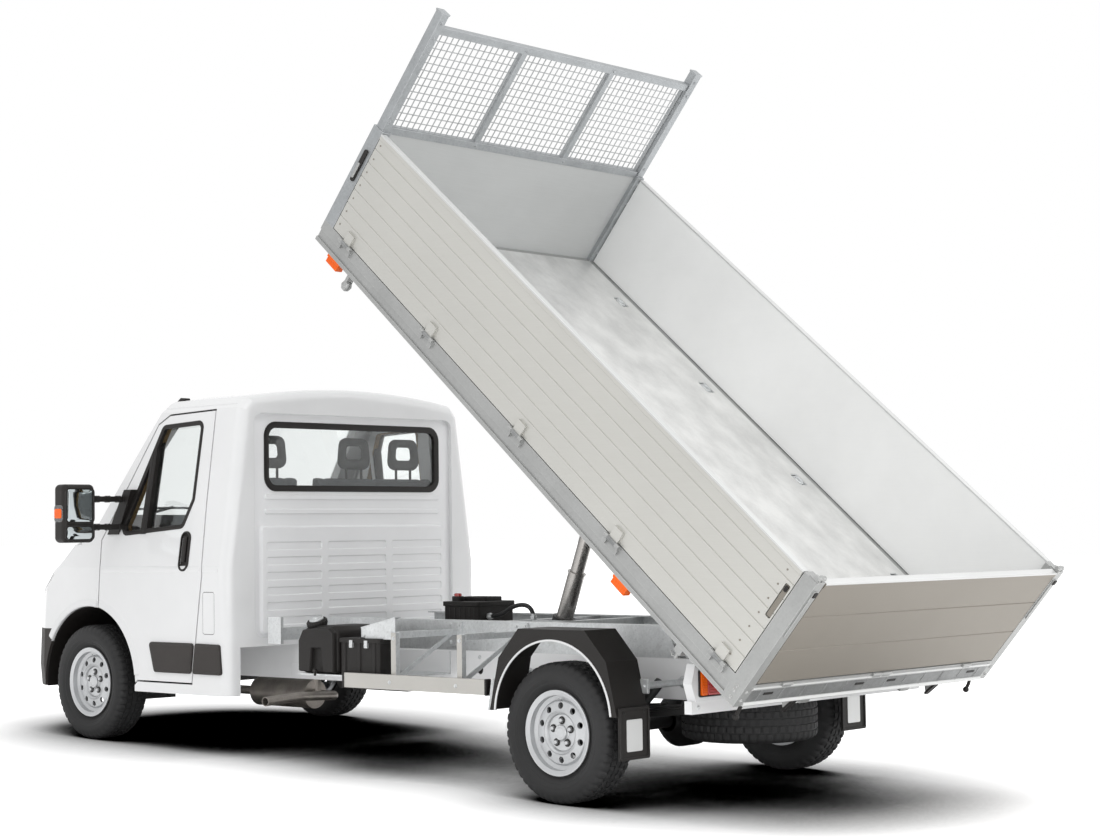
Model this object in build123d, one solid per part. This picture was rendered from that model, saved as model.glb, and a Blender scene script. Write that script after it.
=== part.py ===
"""A light three-way dump truck: van cab, ladder frame, aluminium dropside bed shown raised.

Millimetres. +X is the truck's left, +Y its rear, +Z up. Everything is modelled in the body
frame, with the front axle over y = 0 and the bed lowered, and then put into its stance.
"""
import os
from math import asin, atan2, cos, degrees, hypot, radians, sin

from build123d import *

# Wheels and stance
WHEELBASE = 3800.0
FRONT_TRACK = 1810.0
REAR_TRACK = 1790.0
TYRE_RADIUS = 341.0
TYRE_WIDTH = 215.0
BEAD_RADIUS = 190.5
FLANGE_RADIUS = 206.0
RIM_WIDTH = 180.0
RIM_VENTS = 10
RIM_VENT_RADIUS = 16.0
RIM_VENT_CIRCLE = 130.0
SPINDLE_RADIUS = 32.0
KINGPIN_OFFSET = 150.0
REAR_DROOP = 104.0
MIDDLE_Y = 2212.0

# Cab
CAB_HALF_WIDTH = 1000.0
CAB_BACK_Y = 1310.0
ROOF_Z = 2070.0
CANT_X = 868.0
CANT_Z = 1940.0
BELT_Z = 1030.0
SKIRT_Z = 305.0
SIDE_WALL = 55.0
ROOF_WALL = 40.0
NOSE_Y = -948.0
COWL_Y = -200.0
COWL_Z = 1265.0
DOOR_GAP = 10.0
DOOR_REBATE = 20.0
DOOR_SKIN = 18.0
GLASS = 5.0
ARCH_RADIUS = 450.0
ARCH_INNER_X = 575.0
LINER = 6.0
BONNET_HINGE_X = 300.0
BONNET_HINGE_Y = -214.0
BONNET_HINGE_Z = 1245.0
BONNET_PIN = 6.0
BONNET_GAP = 18.0
BONNET_SIDE_GAP = 8.0
FLOOR_HALF_WIDTH = 900.0
FLOOR_THICK = 40.0
FIREWALL_Y = -60.0
DOOR_FRAME_X = 835.0
DOOR_HINGE_X = 980.0
DOOR_HINGE_Y = 160.0
DOOR_HINGE_Z = 1000.0
DOOR_HINGE_LEAN = 2.0
DOOR_HINGE_LEVELS = [-150.0, 60.0]
DOOR_EYE = 9.0
DOOR_PIN = 5.0
HANDLE_Y = 919.0
HANDLE_Z = 1122.0
HANDLE_WIDTH = 62.0
HANDLE_HEIGHT = 212.0
HANDLE_DEPTH = 16.0
FLAP_GROOVE = 3.0
GUTTER_RADIUS = 8.0
BACK_HALF_WIDTH = 790.0
BACK_LOW = 625.0
BACK_HIGH = 1910.0
BACK_RECESS = 25.0
BACK_THICK = 30.0
PRESSING = 20.0
RIB_DEPTH = 6.0
RIB_HEIGHT = 50.0
RIB_PITCH = 86.0
RIB_FIRST_Z = 690.0
RIB_ROWS = 6
SEAL = 0.3
BUMPER_TOP = 655.0

# Ladder frame and tipper subframe
RAIL_X = 470.0
RAIL_WIDTH = 70.0
RAIL_TOP = 577.0
RAIL_DEPTH = 200.0
RAIL_WALL = 8.0
RAIL_FRONT_Y = -780.0
RAIL_REAR_Y = 4560.0
TOW_EYE_RADIUS = 20.0
SUBFRAME_FRONT_Y = 1480.0
SUBFRAME_REAR_Y = 4140.0
SUBFRAME_TOP = 737.0
FRAME_TUBES = [1500.0, 2250.0, 3350.0, 4210.0, 4500.0]
SUBFRAME_TUBES = [1540.0, 2320.0, 3700.0, 4080.0]
RAIL_HOLE_RADIUS = 24.0
RAIL_HOLE_PITCH = 360.0
RAIL_HOLES = 8
GUARD_OPENING = 372.0
GUARD_CENTRE_Z = 305.0
GUARD_WALL = 6.0
GUARD_INNER_X = 790.0
GUARD_OUTER_X = 1020.0
EXHAUST_RADIUS = 26.0
EXHAUST_WALL = 3.0

# Bed, lowered
HINGE_Y = 4432.0
HINGE_Z = 735.0
TILT = 40.67
TIP_PIN_RADIUS = 20.0
BED_REAR_Y = 5012.0
BED_BASE_Z = 815.0
BED_LENGTH = 3647.0
BED_HALF_WIDTH = 1060.0
BED_RAIL = 60.0
BED_RAIL_HEIGHT = 125.0
POST_DEPTH = 82.0
SIDE_TOP = 718.0
SIDE_THICK = 30.0
HEADBOARD_TOP = 735.0
MESH_TOP = 1340.0
MESH_POST_TOP = 1437.0
MESH_DIVIDER_X = 355.0
MESH_PITCH = 86.0
MESH_WIRE = 6.0
SIDE_GROOVES = 6
GATE_GROOVES = 2
GROOVE_DEPTH = 4.0
SIDE_LIP = 4.0
SIDE_LIP_HEIGHT = 24.0
LATCH_WIDTH = 32.0
LATCH_LOW = 434.0
LATCH_HIGH = 619.0
LATCH_DEPTH = 14.0
LASHING_RINGS = 4
LASHING_PITCH = 830.0
LASHING_FIRST = 560.0
LASHING_INSET = 95.0
LASHING_DEPTH = 9.0
RAIL_GROOVE = 8.0
STOP_X = 600.0
STOP_DROP = 72.0
DROP_HINGE_OFFSET = 14.0
DROP_HINGE_RADIUS = 12.0
DROP_PIN_RADIUS = 6.0
DROP_HINGE_PITCH = 805.0
GATE_PIN_RADIUS = 9.0
FLOOR_PLATE = 20.0

# Ram
RAM_Y = 2952.0
RAM_Z = 700.0
RAM_START_ANGLE = 4.4
CRADLE_HALF = 28.0
CRADLE_REACH = 160.0
TRUNNION_RADIUS = 15.0
RAM_PIN_RADIUS = 14.0
RAM_EYE_PLAY = 12.0
RUNNING = 0.3
GAP = 5.0

RAKE = degrees(asin(REAR_DROOP / WHEELBASE))
REAR_AXLE_Y = WHEELBASE * cos(radians(RAKE))
REAR_AXLE_Z = TYRE_RADIUS - REAR_DROOP
STANCE = Pos(0, -MIDDLE_Y, TYRE_RADIUS) * Rot(RAKE, 0, 0) * Pos(0, 0, -TYRE_RADIUS)
RAISED = Pos(0, HINGE_Y, HINGE_Z) * Rot(-TILT, 0, 0) * Pos(0, -HINGE_Y, -HINGE_Z)


def block(x0, x1, y0, y1, z0, z1):
    """A box between two corners."""
    size = Box(x1 - x0, y1 - y0, z1 - z0)
    return Pos((x0 + x1) / 2, (y0 + y1) / 2, (z0 + z1) / 2) * size


def outline(points, radius=0.0):
    """A closed outline, with its corners rounded where a radius is given."""
    face = make_face(Polyline(*points, close=True))
    return fillet(face.vertices(), radius) if radius else face


def prism_x(points, x0, x1, radius=0.0):
    """An outline in (y, z), pulled from x0 to x1."""
    return extrude(Plane.YZ.offset(x0) * outline(points, radius), x1 - x0)


def prism_y(points, y0, y1, radius=0.0):
    """An outline in (x, z), pulled from y0 to y1."""
    return extrude(Plane.XZ.offset(-y1) * outline(points, radius), y1 - y0)


def prism_z(points, z0, z1, radius=0.0):
    """An outline in (x, y), pulled from z0 to z1."""
    return extrude(Plane.XY.offset(z0) * outline(points, radius), z1 - z0)


def rod_x(radius, x0, x1, y, z):
    """A round bar along X."""
    return Pos((x0 + x1) / 2, y, z) * Rot(0, 90, 0) * Cylinder(radius, x1 - x0)


def rod_y(radius, y0, y1, x, z):
    """A round bar along Y."""
    return Pos(x, (y0 + y1) / 2, z) * Rot(90, 0, 0) * Cylinder(radius, y1 - y0)


def rod_z(radius, z0, z1, x, y):
    """A round bar along Z."""
    return Pos(x, y, (z0 + z1) / 2) * Cylinder(radius, z1 - z0)


def rectangle(u, v, width, height):
    """The corners of a rectangle round its middle."""
    return [(u - width / 2, v - height / 2), (u + width / 2, v - height / 2),
            (u + width / 2, v + height / 2), (u - width / 2, v + height / 2)]


def pipe(points, bends, radius):
    """A round tube's solid along straight runs and tangent arcs."""
    path = FilletPolyline(*points, radius=bends)
    start = Plane(origin=path @ 0, z_dir=path % 0)
    return sweep(start * Circle(radius), path=path)


def straight_bar(start, end, radius):
    """A straight round bar between two points."""
    run = Vector(*end) - Vector(*start)
    return extrude(Plane(origin=start, z_dir=run) * Circle(radius), run.length)


def other_side(shape):
    return mirror(shape, Plane.YZ)


def both_sides(shape):
    return shape + other_side(shape)


def joined(pieces):
    """One shape from a row of pieces."""
    total = pieces[0]
    for piece in pieces[1:]:
        total = total + piece
    return total


def write(name, shape, pose=None):
    """Put a piece into its stance and write its file."""
    placed = shape if pose is None else pose * shape
    placed = STANCE * placed
    placed.label = name
    export_step(placed, f"parts/{name}.step")


# Cab volume: the cross-section seen from behind, cut by the nose, bonnet and screen.
# Columns: x, then how far back of the middle the nose, the bonnet and the screen are there,
# then how far the cowl and the roof's front edge drop there
FACE_SECTIONS = [
    (-1010.0, 500.0, 470.0, 165.0, 75.0),
    (-640.0, 80.0, 75.0, 40.0, 18.0),
    (0.0, 0.0, 0.0, 0.0, 0.0),
    (640.0, 80.0, 75.0, 40.0, 18.0),
    (1010.0, 500.0, 470.0, 165.0, 75.0),
]


def cab_section(inset):
    """The cab's cross-section, moved inward by inset."""
    half = CAB_HALF_WIDTH - inset
    cant = CANT_X - inset
    top = ROOF_Z - min(inset, ROOF_WALL)
    low = SKIRT_Z - 200.0 if inset else SKIRT_Z
    crown = ThreePointArc((cant - 60, CANT_Z + 66 - inset), (0, top), (-cant + 60, CANT_Z + 66 - inset))
    right = Polyline((-cant + 60, CANT_Z + 66 - inset), (-cant, CANT_Z - inset), (-half, BELT_Z),
                     (-half, low), (half, low), (half, BELT_Z), (cant, CANT_Z - inset),
                     (cant - 60, CANT_Z + 66 - inset))
    return make_face(crown + right)


def cab_volume(inset):
    """The whole cab as one solid, with its skin moved inward by inset."""
    back = CAB_BACK_Y - inset
    body = extrude(Plane.XZ.offset(-back) * cab_section(inset), back + 1100)
    rear_edges = body.faces().sort_by(Axis.Y)[-1].edges().filter_by(lambda e: e.center().Z > SKIRT_Z)
    body = fillet(rear_edges, 70.0 - min(inset, 40.0))
    slope = inset * 1.4
    sections = []
    for x, nose, lid, screen, drop in FACE_SECTIONS:
        points = [
            (NOSE_Y + nose + 50 + inset, 100.0),
            (NOSE_Y + nose + inset, 430.0),
            (NOSE_Y + nose + 12 + inset, 640.0),
            (NOSE_Y + lid + 60 + inset, 890.0),
            (NOSE_Y + lid + 170 + inset, 1010.0 - inset),
            (COWL_Y + screen / 2, COWL_Z - drop - inset),
            (COWL_Y + screen + 60 + slope, COWL_Z + 25 - drop),
            (500.0 + screen + slope, 2005.0 - drop / 3),
            (820.0 + screen + slope, 2110.0),
            (1600.0, 2110.0),
            (1600.0, 100.0),
        ]
        sections.append(Plane.YZ.offset(x) * outline(points))
    return body & loft(sections)


# Door outlines, seen from the left, in (y, z)
DOOR_LINE = [
    (88.0, 640.0), (118.0, 1042.0), (104.0, 1190.0), (540.0, 1868.0), (640.0, 1918.0), (1060.0, 1930.0),
    (1066.0, 1412.0), (1086.0, 985.0), (1068.0, 880.0), (992.0, 372.0), (480.0, 372.0), (440.0, 340.0),
]
WINDOW_LINE = [
    (275.0, 1222.0), (590.0, 1858.0), (960.0, 1872.0), (952.0, 1420.0), (875.0, 1262.0),
]
QUARTER_BAR_Y = 515.0
FUEL_FLAP = [(1100.0, 653.0), (1200.0, 653.0), (1200.0, 888.0), (1100.0, 888.0)]


def door_prism(grow):
    """The left door's prism, grown on every edge."""
    line = make_face(Polyline(*DOOR_LINE, close=True))
    if grow:
        line = offset(line, amount=grow, kind=Kind.INTERSECTION)
    return extrude(Plane.YZ.offset(600) * line, 500)


def arch_space(radius, x0, x1):
    """The space of the left front wheel arch, open below."""
    return rod_x(radius, x0, x1, 0, TYRE_RADIUS) + block(x0, x1, -radius, radius, 0, TYRE_RADIUS)


def door_hinges():
    """Left door's hinges: swan-neck arms on the cab, pins on the door, and the notches that the arms swing in."""
    stand = Pos(DOOR_HINGE_X, DOOR_HINGE_Y, DOOR_HINGE_Z) * Rot(0, -DOOR_HINGE_LEAN, 0)
    reach = FIREWALL_Y - DOOR_HINGE_Y - GAP
    arms, pins, notches = [], [], []
    for level in DOOR_HINGE_LEVELS:
        arm = rod_z(DOOR_EYE, level - 14, level + 14, 0, 0)
        arm += block(-75, 0, -DOOR_EYE, DOOR_EYE, level - 12, level + 12)
        arm += block(-75, -57, reach, DOOR_EYE, level - 12, level + 12)
        arms.append(arm - rod_z(DOOR_PIN + RUNNING, level - 20, level + 20, 0, 0))
        pins.append(rod_z(DOOR_PIN, level - 22, level + 22, 0, 0))
        notches.append(block(-100, DOOR_EYE + 1, -90, 30, level - 20, level + 20))
    return stand * joined(arms), stand * joined(pins), stand * joined(notches)


def make_cab():
    skin = cab_volume(0)
    room = cab_volume(SIDE_WALL)
    rebate = cab_volume(DOOR_SKIN)
    wall = skin - room
    screen_line = [(-800, 1345), (800, 1345), (688, 1960), (-688, 1960)]
    screen_cut = prism_y(screen_line, -420, 820, 70)
    screen_pane = extrude(Plane.XZ.offset(-820) * offset(outline(screen_line, 70), amount=-SEAL), 1240)
    window_cut = prism_x(WINDOW_LINE, 600, 1100, 40)
    bar = block(600, 1100, QUARTER_BAR_Y - 14, QUARTER_BAR_Y + 14, 1150, 1900)

    # Bonnet, wings, lamps, grille and bumper take their places out of the skin
    def bonnet_line(side_gap, rear_gap):
        half = [(770 + side_gap, COWL_Y + rear_gap), (770 + side_gap, -330), (740 + side_gap, -1000)]
        return half + [(-x, y) for x, y in reversed(half)]

    bonnet_cut = prism_z(bonnet_line(BONNET_SIDE_GAP, BONNET_GAP), 905, 1400)
    bonnet_tool = prism_z(bonnet_line(0, 0), 911, 1400)
    bonnet = wall & bonnet_tool
    notch = block(BONNET_HINGE_X - 19, BONNET_HINGE_X + 19, BONNET_HINGE_Y - 20, 0, 1100, 1400)
    bore = rod_x(BONNET_PIN + RUNNING, BONNET_HINGE_X - 38, BONNET_HINGE_X + 38, BONNET_HINGE_Y, BONNET_HINGE_Z)
    bonnet -= both_sides(notch + bore)
    lug = block(BONNET_HINGE_X - 13, BONNET_HINGE_X + 13, BONNET_HINGE_Y - 10, COWL_Y + BONNET_GAP + 20,
                BONNET_HINGE_Z - 10, BONNET_HINGE_Z + 10)
    lug += rod_x(BONNET_PIN, BONNET_HINGE_X - 36, BONNET_HINGE_X + 36, BONNET_HINGE_Y, BONNET_HINGE_Z)
    front_zone = block(-1100, 1100, -1100, 80, 0, 1188)
    front_zone -= block(-1100, 1100, COWL_Y + 8, 80, 1165, 1300)
    lamp_side = [(-1000, 770), (-560, 800), (-380, 985), (-520, 1010), (-1000, 905)]
    lamp_tool = prism_x(lamp_side, 500, 1100)
    lamps = both_sides(((skin - cab_volume(90)) & lamp_tool) - bonnet_cut)
    bumper_tool = block(-1100, 1100, -1100, -ARCH_RADIUS + 60, 0, BUMPER_TOP)
    grille_tool = block(-498, 498, -1100, -500, BUMPER_TOP, 903)
    grille = wall & grille_tool
    for level in (700, 760, 820):
        grille -= block(-440, 440, -1100, -500, level, level + 38)
    bumper = (wall & bumper_tool) - both_sides(arch_space(ARCH_RADIUS + LINER, ARCH_INNER_X - LINER, 1100))
    bumper -= prism_y([(-400, 360), (400, 360), (440, 500), (-440, 500)], -1100, -600, 30)
    wings = wall & front_zone
    wings -= bonnet_cut
    wings -= both_sides(lamp_tool) + bumper_tool + grille_tool
    wings -= both_sides(arch_space(ARCH_RADIUS + LINER, ARCH_INNER_X - LINER, 1100))
    wings -= both_sides(door_prism(DOOR_GAP)) + block(-500, 500, -1100, 100, 0, 1300)
    left_wing = max(wings.solids(), key=lambda s: s.volume if s.center().X > 300 else 0)
    wings = both_sides(Part(left_wing.wrapped))

    # What is left is the cab's frame, with floor, firewall and open wheel arches
    shell = wall - front_zone - bonnet_cut
    shell -= block(-1100, 1100, -1100, FIREWALL_Y - FLOOR_THICK, 0, 1240)
    shell -= both_sides(door_prism(DOOR_GAP))
    shell -= both_sides(door_prism(DOOR_REBATE)) & rebate
    floor = block(-FLOOR_HALF_WIDTH, FLOOR_HALF_WIDTH, FIREWALL_Y - FLOOR_THICK, CAB_BACK_Y - FLOOR_THICK,
                  RAIL_TOP, RAIL_TOP + FLOOR_THICK)
    firewall = block(-950, 950, FIREWALL_Y - FLOOR_THICK, FIREWALL_Y, RAIL_TOP, COWL_Z - 90)
    shell += (floor + firewall) & room
    arms, pins, notches = door_hinges()
    shell += both_sides(lug) + both_sides(arms)
    arches = both_sides(arch_space(ARCH_RADIUS + LINER, ARCH_INNER_X - LINER, 1100))
    shell -= arches
    shell -= screen_cut
    shell -= block(-900, 900, CAB_BACK_Y - 70, CAB_BACK_Y + 50, 0, RAIL_TOP)
    shell -= prism_y(back_outline(), CAB_BACK_Y - 90, CAB_BACK_Y + 50, 60)
    flap = outline(FUEL_FLAP, 14)
    groove = offset(flap, amount=FLAP_GROOVE) - flap
    shell -= extrude(Plane.YZ.offset(CAB_HALF_WIDTH - FLAP_GROOVE) * groove, 20)
    shell -= both_sides(rod_y(GUTTER_RADIUS, 560, CAB_BACK_Y - 75, CANT_X - 18, CANT_Z + 24))
    shell = Part(max(shell.solids(), key=lambda s: s.volume).wrapped)

    liner = arch_space(ARCH_RADIUS + LINER, ARCH_INNER_X - LINER, 985)
    liner -= arch_space(ARCH_RADIUS, ARCH_INNER_X, 1100)
    liner &= block(0, 1100, -600, 600, TYRE_RADIUS - 40, 1000)

    back, back_glass = make_back_panel()
    door = (wall & door_prism(0)) - arch_space(ARCH_RADIUS + LINER + GAP, 500, 1100)
    door -= window_cut - bar
    door -= block(0, DOOR_FRAME_X, 900, 1100, 1700, 2000)
    door = door - notches + pins
    handle = prism_x(rectangle(HANDLE_Y, HANDLE_Z, HANDLE_WIDTH, HANDLE_HEIGHT), 600, 1100, HANDLE_WIDTH / 2 - 1)
    door -= (skin - cab_volume(HANDLE_DEPTH)) & handle
    pane = cab_volume(20) - cab_volume(20 + GLASS)
    door_glass = pane & (window_cut - bar)
    screen = (cab_volume(8) - cab_volume(8 + GLASS)) & screen_pane

    write("cab_shell", shell)
    write("cab_back_panel", back)
    write("wheel_arch_liners", both_sides(liner))
    write("front_wings", wings)
    write("bonnet", bonnet)
    write("front_bumper", bumper)
    write("grille", grille)
    write("headlamps", lamps)
    write("cab_glass", screen + back_glass)
    write("door_left", door)
    write("door_right", other_side(door))
    write("door_glass_left", door_glass)
    write("door_glass_right", other_side(door_glass))


REAR_WINDOW = (680.0, 1480.0, 1844.0)
# Columns: x from, x to
RIB_COLUMNS = [(-700.0, -280.0), (-235.0, 235.0), (280.0, 700.0)]
SWAGES = [1427.0, 1344.0]


def back_outline():
    return [(-BACK_HALF_WIDTH, BACK_LOW), (BACK_HALF_WIDTH, BACK_LOW), (BACK_HALF_WIDTH, BACK_HIGH),
            (-BACK_HALF_WIDTH, BACK_HIGH)]


def make_back_panel():
    """The pressed back wall with its window opening, swages and ribs."""
    face_y = CAB_BACK_Y - BACK_RECESS
    panel = prism_y(back_outline(), face_y - BACK_THICK, face_y, 60)
    half, low, high = REAR_WINDOW
    panel -= prism_y(rectangle(0, (low + high) / 2, 2 * half, high - low), face_y - 60, face_y + 60, 70)
    for level in SWAGES:
        swage = Plane.XZ.offset(-face_y) * Pos(0, level) * RectangleRounded(1400, 34, 16)
        panel += extrude(swage, -8, taper=40)
    pressing = Plane.XZ.offset(-face_y) * Pos(0, 951) * RectangleRounded(1480, 622, 30)
    panel += extrude(pressing, -PRESSING, taper=30)
    for x0, x1 in RIB_COLUMNS:
        for row in range(RIB_ROWS):
            place = Pos((x0 + x1) / 2, RIB_FIRST_Z + row * RIB_PITCH + RIB_HEIGHT / 2)
            rib = Plane.XZ.offset(-face_y - PRESSING) * place * RectangleRounded(x1 - x0, RIB_HEIGHT, 14)
            panel -= extrude(rib, RIB_DEPTH, taper=45)
    glass = prism_y(rectangle(0, (low + high) / 2, 2 * (half - SEAL), high - low - 2 * SEAL),
                    face_y - 18, face_y - 18 + GLASS, 70)
    return panel, glass


def make_mirrors():
    """Mirror heads on twin arms, seated on the doors' front corners."""
    base_x = 940.0
    head = Pos(1310, 300, 1350) * Box(220, 110, 340)
    head = fillet(head.edges(), 30)
    # Columns: middle height and height of each glass
    for level, tall in [(1396.0, 196.0), (1236.0, 78.0)]:
        head -= prism_y(rectangle(1310, level, 186, tall), 349, 400, 24)
    for level in (1270, 1435):
        head += block(base_x - 50, 1230, 285, 325, level - 16, level + 16)
    foot = prism_x([(160, 1225), (266, 1225), (396, 1490), (328, 1490)], base_x - 70, base_x + 40)
    head += foot
    head -= cab_volume(0)
    write("mirror_left", head)
    write("mirror_right", other_side(head))


def make_seats():
    """Driver's seat and two-place bench with open headrests, and the pedestals that carry them."""
    floor = RAIL_TOP + 40
    seats = []
    # Columns: x from, x to, number of headrests
    for x0, x1, places in [(310, 800, 1), (-800, 190, 2)]:
        side = [(500, 760), (960, 745), (1010, 780), (1150, 1500), (1080, 1530), (960, 900), (500, 900)]
        seat = prism_x(side, x0, x1, 22)
        seat += block(x0 + 50, x1 - 50, 560, 920, floor, 765)
        for place in range(places):
            middle = x0 + (x1 - x0) * (place + 0.5) / places
            ring = prism_y([(middle - 130, 1540), (middle + 130, 1540), (middle + 110, 1740),
                            (middle - 110, 1740)], 1090, 1150, 50)
            hole = prism_y([(middle - 80, 1600), (middle + 80, 1600), (middle + 70, 1690),
                            (middle - 70, 1690)], 1000, 1200, 30)
            seat += ring - hole
            seat += rod_z(9, 1490, 1550, middle - 60, 1120) + rod_z(9, 1490, 1550, middle + 60, 1120)
        seats.append(seat)
    write("seats", seats[0] + seats[1])


def make_dashboard():
    """Dashboard with the steering column and wheel."""
    side = [(-60, 900), (300, 880), (430, 1010), (380, 1170), (120, 1215), (-60, 1200)]
    dash = prism_x(side, -830, 830, 20)
    dash -= both_sides(arch_space(ARCH_RADIUS + LINER, ARCH_INNER_X - LINER, 1100))
    column = Pos(540, 430, 1030) * Rot(-62, 0, 0) * Cylinder(32, 380)
    wheel = Pos(540, 590, 1115) * Rot(-62, 0, 0) * Torus(185, 15)
    spokes = Pos(540, 590, 1115) * Rot(-62, 0, 0) * Box(360, 60, 22)
    write("dashboard", dash + column + wheel + spokes)


def make_frame():
    """Ladder frame, tipper subframe, hinge brackets and what hangs on them."""
    low = RAIL_TOP - RAIL_DEPTH
    inner = RAIL_X - RAIL_WIDTH
    rail = block(inner, RAIL_X, RAIL_FRONT_Y, RAIL_REAR_Y, low, RAIL_TOP)
    rail -= block(inner - 1, RAIL_X - RAIL_WALL, RAIL_FRONT_Y - 1, RAIL_REAR_Y + 1,
                  low + RAIL_WALL, RAIL_TOP - RAIL_WALL)
    for step in range(RAIL_HOLES):
        y = 1700 + step * RAIL_HOLE_PITCH
        rail -= rod_x(RAIL_HOLE_RADIUS, inner, RAIL_X + 1, y, RAIL_TOP - RAIL_DEPTH / 2)
    write("frame_rails", both_sides(rail))
    web = RAIL_X - RAIL_WALL
    members = [block(-web, web, y - 30, y + 30, low + 70, low + 130) for y in FRAME_TUBES]
    write("frame_crossmembers", joined(members))

    beam = prism_x([(SUBFRAME_FRONT_Y, RAIL_TOP), (SUBFRAME_REAR_Y, RAIL_TOP), (SUBFRAME_REAR_Y - 70, SUBFRAME_TOP),
                    (SUBFRAME_FRONT_Y, SUBFRAME_TOP)], inner + 10, RAIL_X)
    beam -= block(inner, RAIL_X - RAIL_WALL, SUBFRAME_FRONT_Y - 1, SUBFRAME_REAR_Y + 1,
                  RAIL_TOP + RAIL_WALL, SUBFRAME_TOP - RAIL_WALL)
    write("subframe_rails", both_sides(beam))
    cross = joined([block(-web, web, y - 30, y + 30, RAIL_TOP + 20, RAIL_TOP + 80) for y in SUBFRAME_TUBES])
    outrigger = block(RAIL_X, 830, 1500, 1570, 620, 690) + block(820, 840, 1480, 1590, 600, 750)

    cheek = prism_x([(HINGE_Y - 110, low + 80), (HINGE_Y + 60, low + 80), (HINGE_Y + 48, HINGE_Z + 20),
                     (HINGE_Y, HINGE_Z + 48), (HINGE_Y - 48, HINGE_Z + 20)], RAIL_X, RAIL_X + 20, 12)
    cheek -= rod_x(TIP_PIN_RADIUS + RUNNING, RAIL_X - 10, RAIL_X + 40, HINGE_Y, HINGE_Z)

    cradle = joined([block(-web, web, y - 25, y + 25, RAM_Z - CRADLE_HALF, RAM_Z + CRADLE_HALF)
                     for y in (RAM_Y - CRADLE_REACH, RAM_Y + CRADLE_REACH)])
    ear = block(90, 106, RAM_Y - CRADLE_REACH, RAM_Y + CRADLE_REACH, RAM_Z - CRADLE_HALF, RAM_Z + CRADLE_HALF)
    ear -= rod_x(TRUNNION_RADIUS + RUNNING, 80, 116, RAM_Y, RAM_Z)
    write("subframe_crossmembers", cross + both_sides(outrigger) + cradle + both_sides(ear))
    return both_sides(cheek)


def make_axles():
    """Front carrier with its arms and kingpins, knuckles, rear axle and leaf springs."""
    low = RAIL_TOP - RAIL_DEPTH
    king_x = FRONT_TRACK / 2 - KINGPIN_OFFSET
    carrier = block(-RAIL_X, RAIL_X, -190, 70, low - 90, low)
    arm = prism_z([(420, -150), (king_x, -32), (king_x, 32), (420, 60)], 215, 245)
    arm += rod_z(34, 215, 245, king_x, 0) + rod_z(14, 245, 320, king_x, 0)
    arm += block(400, 460, -150, 60, 215, low - 80)
    write("front_axle_carrier", carrier + both_sides(arm))

    spindle_end = FRONT_TRACK / 2 + 62
    knuckle = rod_z(34, 245 + RUNNING, 450, king_x, 0)
    knuckle -= rod_z(14 + RUNNING, 200, 322, king_x, 0)
    knuckle += rod_x(SPINDLE_RADIUS, king_x + 20, spindle_end, 0, TYRE_RADIUS)
    knuckle += rod_x(120, king_x + 40, king_x + 64, 0, TYRE_RADIUS)
    knuckle += rod_z(20, 440, 770, king_x, 0) + rod_z(45, 700, 760, king_x, 0)
    write("knuckle_left", knuckle)
    write("knuckle_right", other_side(knuckle))

    end = REAR_TRACK / 2 + 62
    tube_end = REAR_TRACK / 2 - 100
    axle = rod_x(38, -tube_end, tube_end, REAR_AXLE_Y, REAR_AXLE_Z)
    axle += both_sides(rod_x(SPINDLE_RADIUS, tube_end - 5, end, REAR_AXLE_Y, REAR_AXLE_Z))
    axle += both_sides(rod_x(120, tube_end - 10, tube_end + 14, REAR_AXLE_Y, REAR_AXLE_Z))
    axle += both_sides(block(502, 562, REAR_AXLE_Y - 60, REAR_AXLE_Y + 60, REAR_AXLE_Z, REAR_AXLE_Z + 50))
    write("rear_axle", axle)

    seat = REAR_AXLE_Z + 50
    eye = 700.0
    rise = 75.0
    top = ThreePointArc((REAR_AXLE_Y - eye, seat + rise + 26), (REAR_AXLE_Y, seat + 26),
                        (REAR_AXLE_Y + eye, seat + rise + 26))
    under = ThreePointArc((REAR_AXLE_Y + eye, seat + rise), (REAR_AXLE_Y, seat), (REAR_AXLE_Y - eye, seat + rise))
    ends = Line(top @ 1, under @ 0) + Line(under @ 1, top @ 0)
    leaf = extrude(Plane.YZ.offset(502) * make_face(top + under + ends), 60)
    for side in (-1, 1):
        y = REAR_AXLE_Y + side * eye
        leaf += rod_x(28, RAIL_X + 20, 572, y, seat + rise + 13)
        leaf += prism_x([(y - 40, seat + rise), (y + 40, seat + rise), (y + 55, low + 60), (y - 55, low + 60)],
                        RAIL_X, RAIL_X + 24)
    write("leaf_springs", both_sides(leaf))


def wheel_profile():
    """Half-section of the pressed steel rim: columns are x from the middle plane outward, radius."""
    half = RIM_WIDTH / 2
    bore = SPINDLE_RADIUS + RUNNING
    return [
        (-half, FLANGE_RADIUS), (-half + 8, FLANGE_RADIUS), (-half + 12, BEAD_RADIUS), (-30, BEAD_RADIUS - 4),
        (-20, 168), (40, 168), (52, BEAD_RADIUS - 4), (half - 12, BEAD_RADIUS), (half - 8, FLANGE_RADIUS),
        (half, FLANGE_RADIUS), (half, FLANGE_RADIUS - 6), (half - 6, BEAD_RADIUS - 9), (56, BEAD_RADIUS - 12),
        (48, 160), (56, 150), (62, 108), (66, 101), (60, 92), (50, 86), (50, 44), (54, 38), (54, bore), (24, bore),
        (24, 88), (44, 100), (46, 144), (36, 158), (-24, 158), (-34, BEAD_RADIUS - 12), (-half, BEAD_RADIUS - 9),
    ]


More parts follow.
